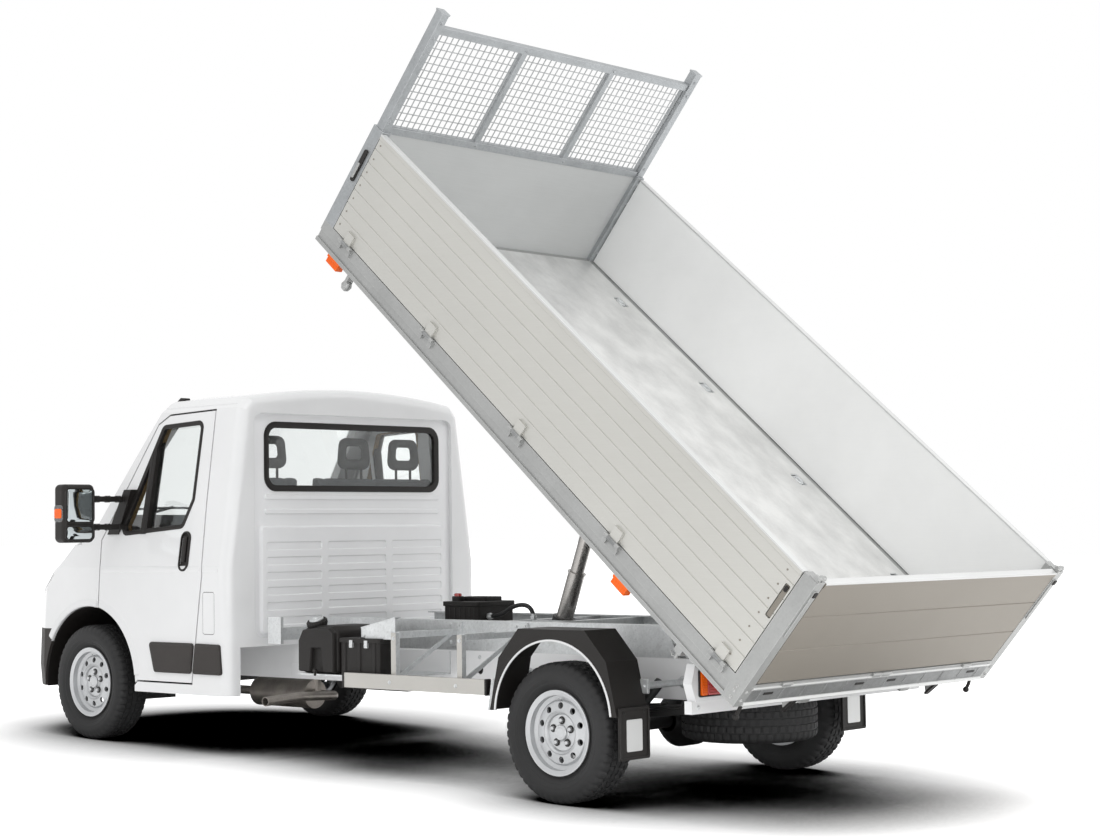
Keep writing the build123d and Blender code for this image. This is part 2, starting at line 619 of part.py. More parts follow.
def tyre_profile():
    """Half-section of the tyre from bead to tread: columns are x from the middle plane, radius."""
    half = TYRE_WIDTH / 2
    seat = RIM_WIDTH / 2 - 14
    bead = BEAD_RADIUS + RUNNING
    right = [(seat, bead), (seat, bead + 26), (half - 2, bead + 60), (half, bead + 88),
             (half - 14, TYRE_RADIUS - 22), (half - 30, TYRE_RADIUS - 4), (half - 60, TYRE_RADIUS)]
    return [(-x, r) for x, r in reversed(right)] + right


def revolve_x(points):
    """A ring or disc about X from a half-section of (x, radius)."""
    face = Plane.XY * make_face(Polyline(*points, close=True))
    return revolve(face, Axis.X)


def make_wheels():
    rim = revolve_x(wheel_profile())
    vent = Pos(52, 0, RIM_VENT_CIRCLE) * Rot(0, 90, 0) * Cylinder(RIM_VENT_RADIUS, 60)
    for step in range(RIM_VENTS):
        rim -= Rot(step * 360 / RIM_VENTS, 0, 0) * vent
    tyre = revolve_x(tyre_profile())
    # Columns: corner's name, x of the wheel's middle plane, y, z, turned about for the right side
    corners = [
        ("front_left", FRONT_TRACK / 2, 0.0, TYRE_RADIUS, False),
        ("front_right", -FRONT_TRACK / 2, 0.0, TYRE_RADIUS, True),
        ("rear_left", REAR_TRACK / 2, REAR_AXLE_Y, REAR_AXLE_Z, False),
        ("rear_right", -REAR_TRACK / 2, REAR_AXLE_Y, REAR_AXLE_Z, True),
    ]
    for name, x, y, z, turned in corners:
        pose = Pos(x, y, z) * Rot(0, 0, 180 if turned else 0)
        write(f"rim_{name}", pose * rim)
        write(f"tyre_{name}", pose * tyre)
    spare_z = RAIL_TOP - RAIL_DEPTH - TYRE_WIDTH / 2 - 6
    disc = revolve_x([(-20, 40), (20, 40), (20, BEAD_RADIUS + 4), (-20, BEAD_RADIUS + 4)])
    spare = Pos(0, 4210, spare_z) * Rot(0, -90, 0) * (tyre + disc)
    write("spare_wheel", spare)
    low = RAIL_TOP - RAIL_DEPTH
    hanger = rod_z(14, spare_z - 40, low + 70, 0, 4210)
    hanger += block(-60, 60, 4180, 4240, spare_z - 50, spare_z - 20)
    return hanger


def make_guards():
    """Mudguards, flaps, their stays, side guards, tank, boxes, exhaust and rear lamps."""
    low = RAIL_TOP - RAIL_DEPTH

    # Columns: how far from the axle, height
    half_arch = [(412.0, 333.0), (350.0, 590.0), (215.0, 735.0)]

    def arch_line(wall, low_z):
        """The chamfered outline of the guard, moved inward by wall and ended at low_z."""
        rear = [(REAR_AXLE_Y + reach - wall, low_z if level == half_arch[0][1] else level - wall)
                for reach, level in half_arch]
        return rear + [(2 * REAR_AXLE_Y - y, z) for y, z in reversed(rear)]

    guard = prism_x(arch_line(0, half_arch[0][1]), GUARD_INNER_X, GUARD_OUTER_X)
    guard -= prism_x(arch_line(GUARD_WALL, 300), GUARD_INNER_X - 10, GUARD_OUTER_X - GUARD_WALL)
    guard -= rod_x(GUARD_OPENING, GUARD_OUTER_X - 20, GUARD_OUTER_X + 10, REAR_AXLE_Y, GUARD_CENTRE_Z)
    flap = block(795, 1010, REAR_AXLE_Y + 412, REAR_AXLE_Y + 420, 130, 375)
    write("mudguards", both_sides(guard + flap))
    stays = joined([rod_x(17, RAIL_X, GUARD_INNER_X, REAR_AXLE_Y + side * 377, 465) for side in (-1, 1)])

    guard_rail = block(935, 965, 2248, 3304, 396, 473)
    for y in (2606, 3093):
        guard_rail += block(905, 935, y - 18, y + 18, 396, 690)
        guard_rail += block(RAIL_X, 905, y - 20, y + 20, 660, 690)
        guard_rail += prism_y([(RAIL_X + 30, 660), (RAIL_X + 70, 660), (905, 470), (905, 440)], y - 4, y + 4)
    write("side_guards", both_sides(guard_rail))

    shelf = block(RAIL_X, 930, 1850, 2560, 447, 455) + block(RAIL_X, RAIL_X + 8, 1850, 2560, 447, 570)
    tank = block(620, 950, 1850, 2160, 455, 715)
    tank = fillet(tank.edges().filter_by(Axis.X), 40)
    tank += rod_z(38, 700, 735, 860, 1930)
    write("oil_tank", tank)
    write("battery_box", block(620, 930, 2180, 2560, 455, 640))

    muffler = rod_y(85, 700, 1200, 250, 270)
    tail_route = [(250, 1190, 270), (250, 1400, 270), (600, 1480, 290), (880, 1500, 280)]
    tail = pipe(tail_route, 90, EXHAUST_RADIUS)
    mouth = straight_bar((712, 1488, 286), (908, 1502, 279), EXHAUST_RADIUS - EXHAUST_WALL)
    front = pipe([(250, 710, 270), (250, 330, 270), (150, 130, 270)], 90, EXHAUST_RADIUS)
    strap = block(420, 445, 1425, 1445, 290, low)
    write("exhaust", muffler + tail - mouth + front + strap)
    write("fuel_tank", fillet(block(-400, 400, 1560, 2180, 330, 540).edges().filter_by(Axis.X), 40))
    write("engine_block", fillet(block(-360, 360, -640, -120, low, 880).edges(), 40))

    unit = block(-150, 150, 2180, 2450, RAIL_TOP + 80, 820)
    write("power_unit", fillet(unit.edges().filter_by(Axis.Z), 25))
    hose = pipe([(60, 2450, 740), (60, 2530, 740), (60, 2640, 800), (60, 2740, 810), (60, RAM_Y - CRADLE_REACH, 770),
                 (60, RAM_Y - CRADLE_REACH, RAM_Z + CRADLE_HALF)], 30, 12)
    write("hydraulic_hose", hose)

    bar = block(-947, 947, RAIL_REAR_Y, RAIL_REAR_Y + 44, 360, 420)
    lamp = block(667, 901, RAIL_REAR_Y + 10, RAIL_REAR_Y + 64, 440, 560)
    write("tail_lamps", both_sides(lamp))
    hexagon = [(640, 420), (925, 420), (955, 500), (925, 590), (640, 590), (610, 500)]
    frame = prism_y(hexagon, RAIL_REAR_Y, RAIL_REAR_Y + 50)
    frame -= block(667, 901, RAIL_REAR_Y + 10, RAIL_REAR_Y + 60, 440, 560)
    tongue = prism_z([(-45, RAIL_REAR_Y + 40), (45, RAIL_REAR_Y + 40), (45, RAIL_REAR_Y + 120),
                      (-45, RAIL_REAR_Y + 120)], 380, 400, 20)
    tongue -= rod_z(TOW_EYE_RADIUS, 370, 410, 0, RAIL_REAR_Y + 80)
    write("rear_crossbar", bar + both_sides(frame) + tongue)
    return both_sides(stays) + shelf


def plank(inner, outer, low, high, grooves):
    """The section of a dropside or tailgate: plain inside, grooved outside, with a lip along its top."""
    way = 1 if outer > inner else -1
    section = [(inner, low), (inner, high), (outer + way * SIDE_LIP, high), (outer + way * SIDE_LIP, high - SIDE_LIP_HEIGHT),
               (outer, high - SIDE_LIP_HEIGHT - SIDE_LIP)]
    pitch = (high - low) / (grooves + 1)
    for index in range(grooves, 0, -1):
        level = low + index * pitch
        section += [(outer, level + GROOVE_DEPTH), (outer - way * GROOVE_DEPTH, level), (outer, level - GROOVE_DEPTH)]
    return section + [(outer, low)]


def make_bed_frame(front, side_front, side_rear, floor_top, hinge_places):
    """Rails, crossmembers, hinge lugs, the ram's bracket, tailgate stops and rear posts."""
    inside = BED_HALF_WIDTH - BED_RAIL
    base = BED_BASE_Z
    hinge_x = BED_HALF_WIDTH + DROP_HINGE_OFFSET
    hinge_z = floor_top - 7
    rail = block(inside, BED_HALF_WIDTH, front, side_rear, base, floor_top)
    rail -= block(BED_HALF_WIDTH - RAIL_GROOVE, BED_HALF_WIDTH + 1, front - 1, side_rear, base + 22, base + 70)
    frame = both_sides(rail)
    frame += block(-inside, inside, front, side_front, base, floor_top)
    frame += block(-inside, inside, side_rear, BED_REAR_Y, base, floor_top)
    frame += both_sides(block(385, 460, front + 40, BED_REAR_Y - 40, SUBFRAME_TOP + 8, base + 60))
    for index in range(9):
        y = side_front + 180 + index * 390
        frame += block(-inside, inside, y - 20, y + 20, base + 45, floor_top - FLOOR_PLATE)
    lug = prism_x([(HINGE_Y - 70, SUBFRAME_TOP + 20), (HINGE_Y - 45, HINGE_Z - 30), (HINGE_Y, HINGE_Z - 48),
                   (HINGE_Y + 45, HINGE_Z - 30), (HINGE_Y + 70, SUBFRAME_TOP + 20)], 400, 462, 15)
    frame += both_sides(lug + rod_x(TIP_PIN_RADIUS, 440, RAIL_X + 28, HINGE_Y, HINGE_Z))
    eye_y, eye_z = RAM_EYE_LOWERED
    bracket = block(30, 44, eye_y - 45, eye_y + 45, eye_z - 38, floor_top - 25)
    frame += both_sides(bracket) + rod_x(RAM_PIN_RADIUS, -44, 44, eye_y, eye_z)
    frame += block(-inside, inside, eye_y - 46, eye_y + 46, base + 60, floor_top - FLOOR_PLATE)
    stop = prism_x([(side_rear, base + 1), (BED_REAR_Y, base + 1), (BED_REAR_Y - 14, base - STOP_DROP)],
                   STOP_X - 12, STOP_X + 12, 8)
    frame += both_sides(stop)
    for y in hinge_places:
        for end in (-1, 1):
            middle = y + end * 43
            boss = rod_y(DROP_HINGE_RADIUS, middle - 12, middle + 12, hinge_x, hinge_z)
            web = block(BED_HALF_WIDTH - 1, hinge_x, middle - 12, middle + 12, hinge_z - 40, hinge_z)
            frame += both_sides(boss + web)
        frame += both_sides(rod_y(DROP_PIN_RADIUS, y - 43, y + 43, hinge_x, hinge_z))
    post = block(inside, BED_HALF_WIDTH, side_rear, BED_REAR_Y, base, base + SIDE_TOP + 2)
    pin_y = BED_REAR_Y - SIDE_THICK / 2
    post -= rod_x(GATE_PIN_RADIUS + RUNNING, inside - 5, inside + 40, pin_y, base + SIDE_TOP - 22)
    write("bed_frame", frame + both_sides(post), RAISED)


def make_headboard(front, side_front, floor_top):
    """Headboard: posts, rails and mesh in one frame, and the panel below."""
    inside = BED_HALF_WIDTH - BED_RAIL
    base = BED_BASE_Z
    board = both_sides(block(inside, BED_HALF_WIDTH, front, side_front, floor_top, base + MESH_POST_TOP))
    for level in (HEADBOARD_TOP, MESH_TOP):
        board += block(-inside, inside, front + 20, front + 60, base + level - 20, base + level + 20)
    for x in (-MESH_DIVIDER_X, MESH_DIVIDER_X):
        board += block(x - 18, x + 18, front + 22, front + 58, base + HEADBOARD_TOP, base + MESH_TOP)
    panel = block(-inside, inside, front + 25, front + 55, floor_top, base + HEADBOARD_TOP - 20)
    write("headboard_panel", panel, RAISED)
    low = base + HEADBOARD_TOP + 20
    rows = round((MESH_TOP - HEADBOARD_TOP - 40) / MESH_PITCH)
    row_step = (MESH_TOP - HEADBOARD_TOP - 40) / rows
    for x0, x1 in [(-inside, -MESH_DIVIDER_X - 18), (-MESH_DIVIDER_X + 18, MESH_DIVIDER_X - 18),
                   (MESH_DIVIDER_X + 18, inside)]:
        sheet = block(x0, x1, front + 38, front + 42, low, low + rows * row_step)
        columns = round((x1 - x0) / MESH_PITCH)
        step = (x1 - x0) / columns
        holes = []
        for column in range(columns):
            for row in range(rows):
                left = x0 + column * step + MESH_WIRE / 2
                bottom = low + row * row_step + MESH_WIRE / 2
                holes.append(block(left, left + step - MESH_WIRE, front + 30, front + 50,
                                   bottom, bottom + row_step - MESH_WIRE))
        board += sheet - joined(holes)
    write("headboard_frame", board, RAISED)


def make_bed():
    """Raised bed: frame, floor, posts, headboard, dropsides, tailgate and marker lamps."""
    front = BED_REAR_Y - BED_LENGTH
    inside = BED_HALF_WIDTH - BED_RAIL
    base = BED_BASE_Z
    floor_top = base + BED_RAIL_HEIGHT
    hinge_x = BED_HALF_WIDTH + DROP_HINGE_OFFSET
    hinge_z = floor_top - 7
    side_front = front + POST_DEPTH
    side_rear = BED_REAR_Y - POST_DEPTH
    hinge_places = [side_rear - 110 - step * DROP_HINGE_PITCH for step in range(5)]
    make_bed_frame(front, side_front, side_rear, floor_top, hinge_places)
    make_headboard(front, side_front, floor_top)

    floor = block(-inside, inside, side_front, side_rear, floor_top - FLOOR_PLATE, floor_top)
    for step in range(LASHING_RINGS):
        place = rectangle(inside - LASHING_INSET, side_rear - LASHING_FIRST - step * LASHING_PITCH, 66, 100)
        floor -= both_sides(prism_z(place, floor_top - LASHING_DEPTH, floor_top + 10, 14))
    write("bed_floor", floor, RAISED)

    panel_low = floor_top + GAP
    section = plank(BED_HALF_WIDTH - SIDE_THICK, BED_HALF_WIDTH, panel_low, base + SIDE_TOP, SIDE_GROOVES)
    side = prism_y(section, side_front + GAP, side_rear - GAP)
    latch_y = side_rear - GAP - 8 - LATCH_WIDTH / 2
    latch = rectangle(latch_y, base + (LATCH_LOW + LATCH_HIGH) / 2, LATCH_WIDTH, LATCH_HIGH - LATCH_LOW)
    side -= prism_x(latch, BED_HALF_WIDTH - LATCH_DEPTH, BED_HALF_WIDTH + 5, 8)
    for y in hinge_places:
        knuckle = rod_y(DROP_HINGE_RADIUS, y - 30, y + 30, hinge_x, hinge_z)
        strap = block(BED_HALF_WIDTH - 6, hinge_x, y - 30, y + 30, hinge_z + 8, hinge_z + 70)
        side += (knuckle + strap) - rod_y(DROP_PIN_RADIUS + RUNNING, y - 40, y + 40, hinge_x, hinge_z)
    write("dropside_left", side, RAISED)
    write("dropside_right", other_side(side), RAISED)

    section = plank(BED_REAR_Y - SIDE_THICK, BED_REAR_Y, panel_low + 4, base + SIDE_TOP, GATE_GROOVES)
    gate = prism_x(section, -inside + GAP, inside - GAP)
    pin_y = BED_REAR_Y - SIDE_THICK / 2
    gate += both_sides(rod_x(GATE_PIN_RADIUS, inside - GAP - 2, inside + 35, pin_y, base + SIDE_TOP - 22))
    write("tailgate", gate, RAISED)

    lamps = []
    for y in (side_front + 110, BED_REAR_Y - 846):
        lamps.append(block(inside + 10, BED_HALF_WIDTH - 5, y - 50, y + 50, base - 45, base))
    write("marker_lamps", both_sides(joined(lamps)), RAISED)


# Ram geometry: the eye and the trunnion lie at one distance from the bed's hinge, so the ram
# leans by half of what the bed tips
RAM_REACH = hypot(HINGE_Y - RAM_Y, HINGE_Z - RAM_Z)
RAM_DIP = degrees(atan2(HINGE_Z - RAM_Z, HINGE_Y - RAM_Y))
RAM_EYE_LOWERED = (
    HINGE_Y - RAM_REACH * cos(radians(RAM_START_ANGLE - RAM_DIP)),
    HINGE_Z + RAM_REACH * sin(radians(RAM_START_ANGLE - RAM_DIP)),
)
RAM_CLOSED = 2 * RAM_REACH * sin(radians(RAM_START_ANGLE / 2))
RAM_OPEN = 2 * RAM_REACH * sin(radians((RAM_START_ANGLE + TILT) / 2))
RAM_LEAN = (RAM_START_ANGLE + TILT) / 2 - RAM_DIP
STAGE_TRAVEL = (RAM_OPEN - RAM_CLOSED) / 4
BARREL_BOTTOM = -310.0
BARREL_RADIUS = 56.0
# Columns: stage's name, outer radius, inner radius, height of its lip above the trunnion when closed
STAGES = [
    ("ram_stage_1", 46.0, 38.5, 50.0),
    ("ram_stage_2", 38.0, 30.5, 57.0),
    ("ram_stage_3", 30.0, 23.5, 64.0),
]
ROD_RADIUS = 23.0
GLAND = 5.0


def make_ram():
    """Telescopic ram: trunnioned barrel, three tubes and the rod with its eye."""
    stand = Pos(0, RAM_Y, RAM_Z) * Rot(-RAM_LEAN, 0, 0)
    barrel = rod_z(BARREL_RADIUS, BARREL_BOTTOM, 42, 0, 0) + rod_z(BARREL_RADIUS + 8, 10, 42, 0, 0)
    barrel -= rod_z(STAGES[0][1] + 0.5, BARREL_BOTTOM + 12, 60, 0, 0)
    barrel += both_sides(rod_x(TRUNNION_RADIUS, BARREL_RADIUS - 5, 112, 0, 0))
    write("ram_barrel", stand * barrel)
    for index, (name, outer, inner, lip) in enumerate(STAGES):
        tube = rod_z(outer, BARREL_BOTTOM + 14 + index * 4, lip, 0, 0) + rod_z(outer + GLAND, lip - 6, lip, 0, 0)
        tube -= rod_z(inner, BARREL_BOTTOM, lip + 10, 0, 0)
        write(name, stand * Pos(0, 0, STAGE_TRAVEL * (index + 1)) * tube)
    rod = rod_z(ROD_RADIUS, BARREL_BOTTOM + 26, RAM_CLOSED - 10, 0, 0)
    rod += rod_x(RAM_PIN_RADIUS + RAM_EYE_PLAY + 14, -26, 26, 0, RAM_CLOSED)
    rod -= rod_x(RAM_PIN_RADIUS + RAM_EYE_PLAY, -40, 40, 0, RAM_CLOSED)
    write("ram_rod", stand * Pos(0, 0, STAGE_TRAVEL * 4) * rod)


os.makedirs("parts", exist_ok=True)
make_cab()
make_mirrors()
make_seats()
make_dashboard()
write("frame_brackets", make_frame() + make_wheels() + make_guards())
make_axles()
make_bed()
make_ram()
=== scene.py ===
"""The dump truck dressed for its render: finishes for every solid, and the fine pieces that they lack.

Pieces are written in millimetres of the truck's body frame (front axle over y = 0, bed lowered)
and put into place by two matrices, STANCE for the truck and BED for its raised bed.
"""
from math import asin, atan2, cos, exp, pi, radians, sin, tan

import bmesh
import bpy
from mathutils import Matrix, Vector


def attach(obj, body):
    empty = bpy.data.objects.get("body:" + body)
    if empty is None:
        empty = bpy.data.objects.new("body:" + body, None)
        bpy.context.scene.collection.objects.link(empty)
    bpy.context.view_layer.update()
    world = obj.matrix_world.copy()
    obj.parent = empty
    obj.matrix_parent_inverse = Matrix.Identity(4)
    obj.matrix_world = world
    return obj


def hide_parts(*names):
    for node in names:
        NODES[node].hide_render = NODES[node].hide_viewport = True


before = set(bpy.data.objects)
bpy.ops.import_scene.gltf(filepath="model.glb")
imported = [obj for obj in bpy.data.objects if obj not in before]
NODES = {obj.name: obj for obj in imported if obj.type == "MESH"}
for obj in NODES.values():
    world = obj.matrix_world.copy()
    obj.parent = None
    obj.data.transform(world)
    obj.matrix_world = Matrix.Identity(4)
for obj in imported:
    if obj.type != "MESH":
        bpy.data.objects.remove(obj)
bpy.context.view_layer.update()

# Sizes shared with the solids, in millimetres and degrees
WHEELBASE = 3800.0
REAR_DROOP = 104.0
TYRE_RADIUS = 341.0
MIDDLE_Y = 2212.0
HINGE_Y, HINGE_Z, TILT = 4432.0, 735.0, 40.67
FRONT_X, REAR_X = 905.0, 895.0
SPARE_Y, SPARE_Z = 4210.0, 263.5
GUARD_POSTS = (2606.0, 3093.0)

RAKE = asin(REAR_DROOP / WHEELBASE)
STANCE = (Matrix.Translation((0, -MIDDLE_Y / 1000, TYRE_RADIUS / 1000)) @ Matrix.Rotation(RAKE, 4, "X")
          @ Matrix.Scale(0.001, 4) @ Matrix.Translation((0, 0, -TYRE_RADIUS)))
BED = (STANCE @ Matrix.Translation((0, HINGE_Y, HINGE_Z)) @ Matrix.Rotation(radians(-TILT), 4, "X")
       @ Matrix.Translation((0, -HINGE_Y, -HINGE_Z)))
BED_TURN = RAKE - radians(TILT)
REAR_Y, REAR_Z = WHEELBASE * cos(RAKE), TYRE_RADIUS - REAR_DROOP
OUT, REARWARD, UP = (1, 0, 0), (0, 1, 0), (0, 0, 1)


# Finishes
COAT_ROUGH = 0.06
BLOTCH_STOPS = (0.34, 0.66)
SPANGLE_SCALE = 95.0
GRAIN_DEPTH = 0.002
EDGE_RADIUS, EDGE_FROM, EDGE_TO = 0.004, 0.985, 0.90


def node(tree, kind, **values):
    """A shader node with some of its properties or sockets set."""
    made = tree.nodes.new(kind)
    for key, value in values.items():
        if hasattr(made, key):
            setattr(made, key, value)
        else:
            made.inputs[key.replace("_", " ")].default_value = value
    return made


def finish(name, colour, rough, metal=0.0, tint=0.06, blotch=1.6, grain=(260, 260, 260), bump=0.04,
           turn=0.0, coat=0.0, spread=0.06, edge=None, spangle=0.0, clear=0.0, flow=(1, 1, 1), shine=0.5):
    """A procedural finish: blotchy colour, grained roughness and bump, and edges worn to a colour."""
    made = bpy.data.materials.new(name)
    made.use_nodes = True
    tree = made.node_tree
    link = tree.links.new
    shader = tree.nodes["Principled BSDF"]
    for socket, value in [("Metallic", metal), ("Coat Weight", coat), ("Coat Roughness", COAT_ROUGH),
                          ("Transmission Weight", clear), ("Specular IOR Level", shine)]:
        shader.inputs[socket].default_value = value
    place = node(tree, "ShaderNodeTexCoord")
    cloud = node(tree, "ShaderNodeTexNoise", Scale=blotch, Detail=6.0, Roughness=0.6)
    drift = node(tree, "ShaderNodeMapping", Rotation=(-turn, 0, 0), Scale=flow)
    link(place.outputs["Object"], drift.inputs["Vector"])
    link(drift.outputs["Vector"], cloud.inputs["Vector"])
    ramp = node(tree, "ShaderNodeValToRGB")
    for stop, spot, share in zip(ramp.color_ramp.elements, BLOTCH_STOPS, (1 - tint, 1 + tint)):
        stop.position = spot
        stop.color = tuple(min(1, c * share) for c in colour) + (1,)
    link(cloud.outputs["Fac"], ramp.inputs["Fac"])
    shade = ramp.outputs["Color"]
    map_node = node(tree, "ShaderNodeMapping", Rotation=(-turn, 0, 0), Scale=grain)
    link(place.outputs["Object"], map_node.inputs["Vector"])
    fine = node(tree, "ShaderNodeTexNoise", Scale=1.0, Detail=3.0)
    link(map_node.outputs["Vector"], fine.inputs["Vector"])
    if spangle:
        cells = node(tree, "ShaderNodeTexVoronoi", Scale=SPANGLE_SCALE)
        link(place.outputs["Object"], cells.inputs["Vector"])
        flake = node(tree, "ShaderNodeMixRGB", blend_type="MULTIPLY", Fac=spangle)
        bright = node(tree, "ShaderNodeHueSaturation", Saturation=0.0, Value=1.5)
        link(cells.outputs["Color"], bright.inputs["Color"])
        link(shade, flake.inputs["Color1"])
        link(bright.outputs["Color"], flake.inputs["Color2"])
        shade = flake.outputs["Color"]
    streak = node(tree, "ShaderNodeMixRGB", blend_type="OVERLAY", Fac=min(0.5, tint * 2))
    link(shade, streak.inputs["Color1"])
    link(fine.outputs["Fac"], streak.inputs["Color2"])
    shade = streak.outputs["Color"]
    if edge:
        soft = node(tree, "ShaderNodeBevel", samples=3, Radius=EDGE_RADIUS)
        face = node(tree, "ShaderNodeNewGeometry")
        turned = node(tree, "ShaderNodeVectorMath", operation="DOT_PRODUCT")
        link(soft.outputs["Normal"], turned.inputs[0])
        link(face.outputs["Normal"], turned.inputs[1])
        worn = node(tree, "ShaderNodeMapRange", From_Min=EDGE_FROM, From_Max=EDGE_TO)
        link(turned.outputs["Value"], worn.inputs["Value"])
        patchy = node(tree, "ShaderNodeMath", operation="MULTIPLY")
        link(worn.outputs["Result"], patchy.inputs[0])
        link(cloud.outputs["Fac"], patchy.inputs[1])
        mix = node(tree, "ShaderNodeMixRGB", Color2=edge + (1,))
        link(patchy.outputs["Value"], mix.inputs["Fac"])
        link(shade, mix.inputs["Color1"])
        shade = mix.outputs["Color"]
    link(shade, shader.inputs["Base Color"])
    gloss = node(tree, "ShaderNodeMapRange", To_Min=max(0.02, rough - spread),
                 To_Max=min(1, rough + spread))
    link(fine.outputs["Fac"], gloss.inputs["Value"])
    link(gloss.outputs["Result"], shader.inputs["Roughness"])
    relief = node(tree, "ShaderNodeBump", Strength=bump, Distance=GRAIN_DEPTH)
    link(fine.outputs["Fac"], relief.inputs["Height"])
    link(relief.outputs["Normal"], shader.inputs["Normal"])
    return made


BRUSH = (420, 6, 420)
CROSS = (6, 420, 420)
MATERIALS = {
    "white": finish("white_paint", (0.82, 0.825, 0.83), 0.32, coat=0.5, tint=0.025, bump=0.015,
                    edge=(0.74, 0.74, 0.74)),
    # A lighter copy of the white paint, for the cab's back panel: painted light.
    "wall_white_painted_light": finish("wall_white_painted_light", (0.90, 0.905, 0.915), 0.34, coat=0.5, tint=0.025, bump=0.015,
                         edge=(0.80, 0.80, 0.80)),
    "chassis_white": finish("chassis_white", (0.84, 0.845, 0.85), 0.42, coat=0.2, tint=0.05, bump=0.03,
                            edge=(0.62, 0.62, 0.61)),
    "plastic": finish("black_plastic", (0.013, 0.0112, 0.0102), 0.54, tint=0.25, grain=(900, 900, 900),
                      bump=0.25, shine=0.3, edge=(0.07, 0.07, 0.07)),
    "grey_plastic": finish("grey_plastic", (0.042, 0.037, 0.0345), 0.58, tint=0.12, grain=(900, 900, 900),
                           bump=0.25, shine=0.25, edge=(0.12, 0.12, 0.12)),
    "glass": finish("tinted_glass", (0.955, 0.975, 0.97), 0.03, tint=0.01, bump=0.0, clear=1.0,
                    spread=0.01),
    "lamp": finish("lamp_lens", (0.85, 0.87, 0.88), 0.06, tint=0.03, clear=0.85, bump=0.05),
    "red": finish("red_lens", (0.45, 0.012, 0.008), 0.16, tint=0.12, coat=0.6, grain=(90, 90, 700),
                  bump=0.2),
    "amber": finish("amber_lens", (0.93, 0.135, 0.003), 0.24, tint=0.1, coat=0.15, grain=(90, 700, 90),
                    bump=0.2, shine=0.25),
    "cloth": finish("seat_cloth", (0.13, 0.145, 0.155), 0.9, tint=0.2, grain=(1500, 1500, 1500), bump=0.5),
    "cast": finish("cast_iron", (0.10, 0.10, 0.105), 0.7, metal=0.6, tint=0.2, bump=0.4),
    "zinc": finish("galvanised", (0.60, 0.615, 0.62), 0.42, metal=0.6, tint=0.09, blotch=9.0, bump=0.06,
                   edge=(0.75, 0.76, 0.76), spangle=0.14),
    "black_steel": finish("black_steel", (0.018, 0.018, 0.018), 0.5, tint=0.25, bump=0.12,
                          edge=(0.06, 0.055, 0.05)),
    "alu": finish("anodised_aluminium", (0.53, 0.525, 0.495), 0.42, metal=0.4, tint=0.03, grain=BRUSH,
                  turn=BED_TURN, bump=0.02, blotch=0.8),
    "alu_cross": finish("brushed_aluminium", (0.49, 0.478, 0.45), 0.42, metal=0.45, tint=0.05, grain=CROSS,
                        bump=0.03),
    "tread": finish("floor_metal", (0.70, 0.70, 0.69), 0.38, metal=0.5, tint=0.13, blotch=2.6,
                    grain=(320, 3, 320), flow=(2.2, 0.35, 2.2), turn=BED_TURN, bump=0.05),
    "chrome": finish("bright_chrome", (0.72, 0.72, 0.72), 0.16, metal=1.0, tint=0.05, grain=(500, 500, 12),
                     bump=0.02),
    "ram_steel": finish("ram_steel", (0.36, 0.345, 0.33), 0.27, metal=0.9, tint=0.06, grain=(500, 500, 12),
                        bump=0.02),
    "silver": finish("wheel_silver", (0.52, 0.53, 0.54), 0.38, metal=0.6, tint=0.06, bump=0.04,
                     edge=(0.66, 0.66, 0.66)),
    "rubber": finish("tyre_rubber", (0.016, 0.016, 0.0165), 0.72, tint=0.3, grain=(500, 500, 500),
                     bump=0.25, edge=(0.03, 0.03, 0.03)),
    "hose": finish("hose_rubber", (0.014, 0.014, 0.015), 0.6, tint=0.2, bump=0.2),
    "steel": finish("dull_steel", (0.36, 0.33, 0.30), 0.45, metal=0.85, tint=0.22, blotch=7.0, bump=0.12),
    # Tan for the window linings: a painted reflection.
    "tan": finish("tan_lining_painted_reflection", (0.26, 0.17, 0.075), 0.7, tint=0.15, bump=0.15),
    "mirror": finish("mirror_glass", (0.60, 0.65, 0.66), 0.03, metal=1.0, tint=0.02, bump=0.0, spread=0.01),
    "headrest": finish("headrest_cloth", (0.085, 0.09, 0.088), 0.88, tint=0.2, grain=(1500, 1500, 1500),
                       bump=0.5),
    "red_dark": finish("deep_red_lens", (0.30, 0.008, 0.006), 0.14, tint=0.12, coat=0.6,
                       grain=(90, 90, 700), bump=0.2),
    "mesh_wire": finish("mesh_wire", (0.42, 0.43, 0.435), 0.45, metal=0.4, tint=0.08, bump=0.05),
    # A darker copy of the bed's aluminium, for the tailgate and the side latches: painted shade.
    "alu_gate_painted_shade": finish("tailgate_aluminium_painted_shade", (0.235, 0.214, 0.183), 0.48, metal=0.25, tint=0.035,
                       grain=CROSS, bump=0.02, blotch=0.8),
    "pale_alu": finish("bright_edge_aluminium", (0.60, 0.605, 0.60), 0.36, metal=0.3, tint=0.03,
                       grain=BRUSH, turn=BED_TURN, bump=0.02),
    # A lighter copy of the bed's aluminium, for the faces inside the bed: painted light.
    "inner_alu_painted_light": finish("inner_aluminium_painted_light", (0.81, 0.815, 0.81), 0.42, metal=0.12, tint=0.04, grain=BRUSH,
                        turn=BED_TURN, bump=0.02, blotch=1.2),
    "board_alu": finish("board_aluminium", (0.48, 0.49, 0.488), 0.44, metal=0.2, tint=0.04, grain=CROSS,
                        bump=0.02, blotch=1.2),
    "dull_zinc": finish("dull_zinc", (0.24, 0.245, 0.245), 0.5, metal=0.6, tint=0.14, blotch=8.0, bump=0.06,
                        edge=(0.62, 0.62, 0.62), spangle=0.12),
    "post_zinc": finish("headboard_zinc", (0.34, 0.355, 0.365), 0.46, metal=0.5, tint=0.08, blotch=7.0,
                        bump=0.05, edge=(0.55, 0.56, 0.57), spangle=0.12),
    "rail": finish("bed_rail_zinc", (0.36, 0.365, 0.36), 0.44, metal=0.45, tint=0.05, blotch=5.0, bump=0.04,
                   edge=(0.74, 0.74, 0.73), spangle=0.06),
}

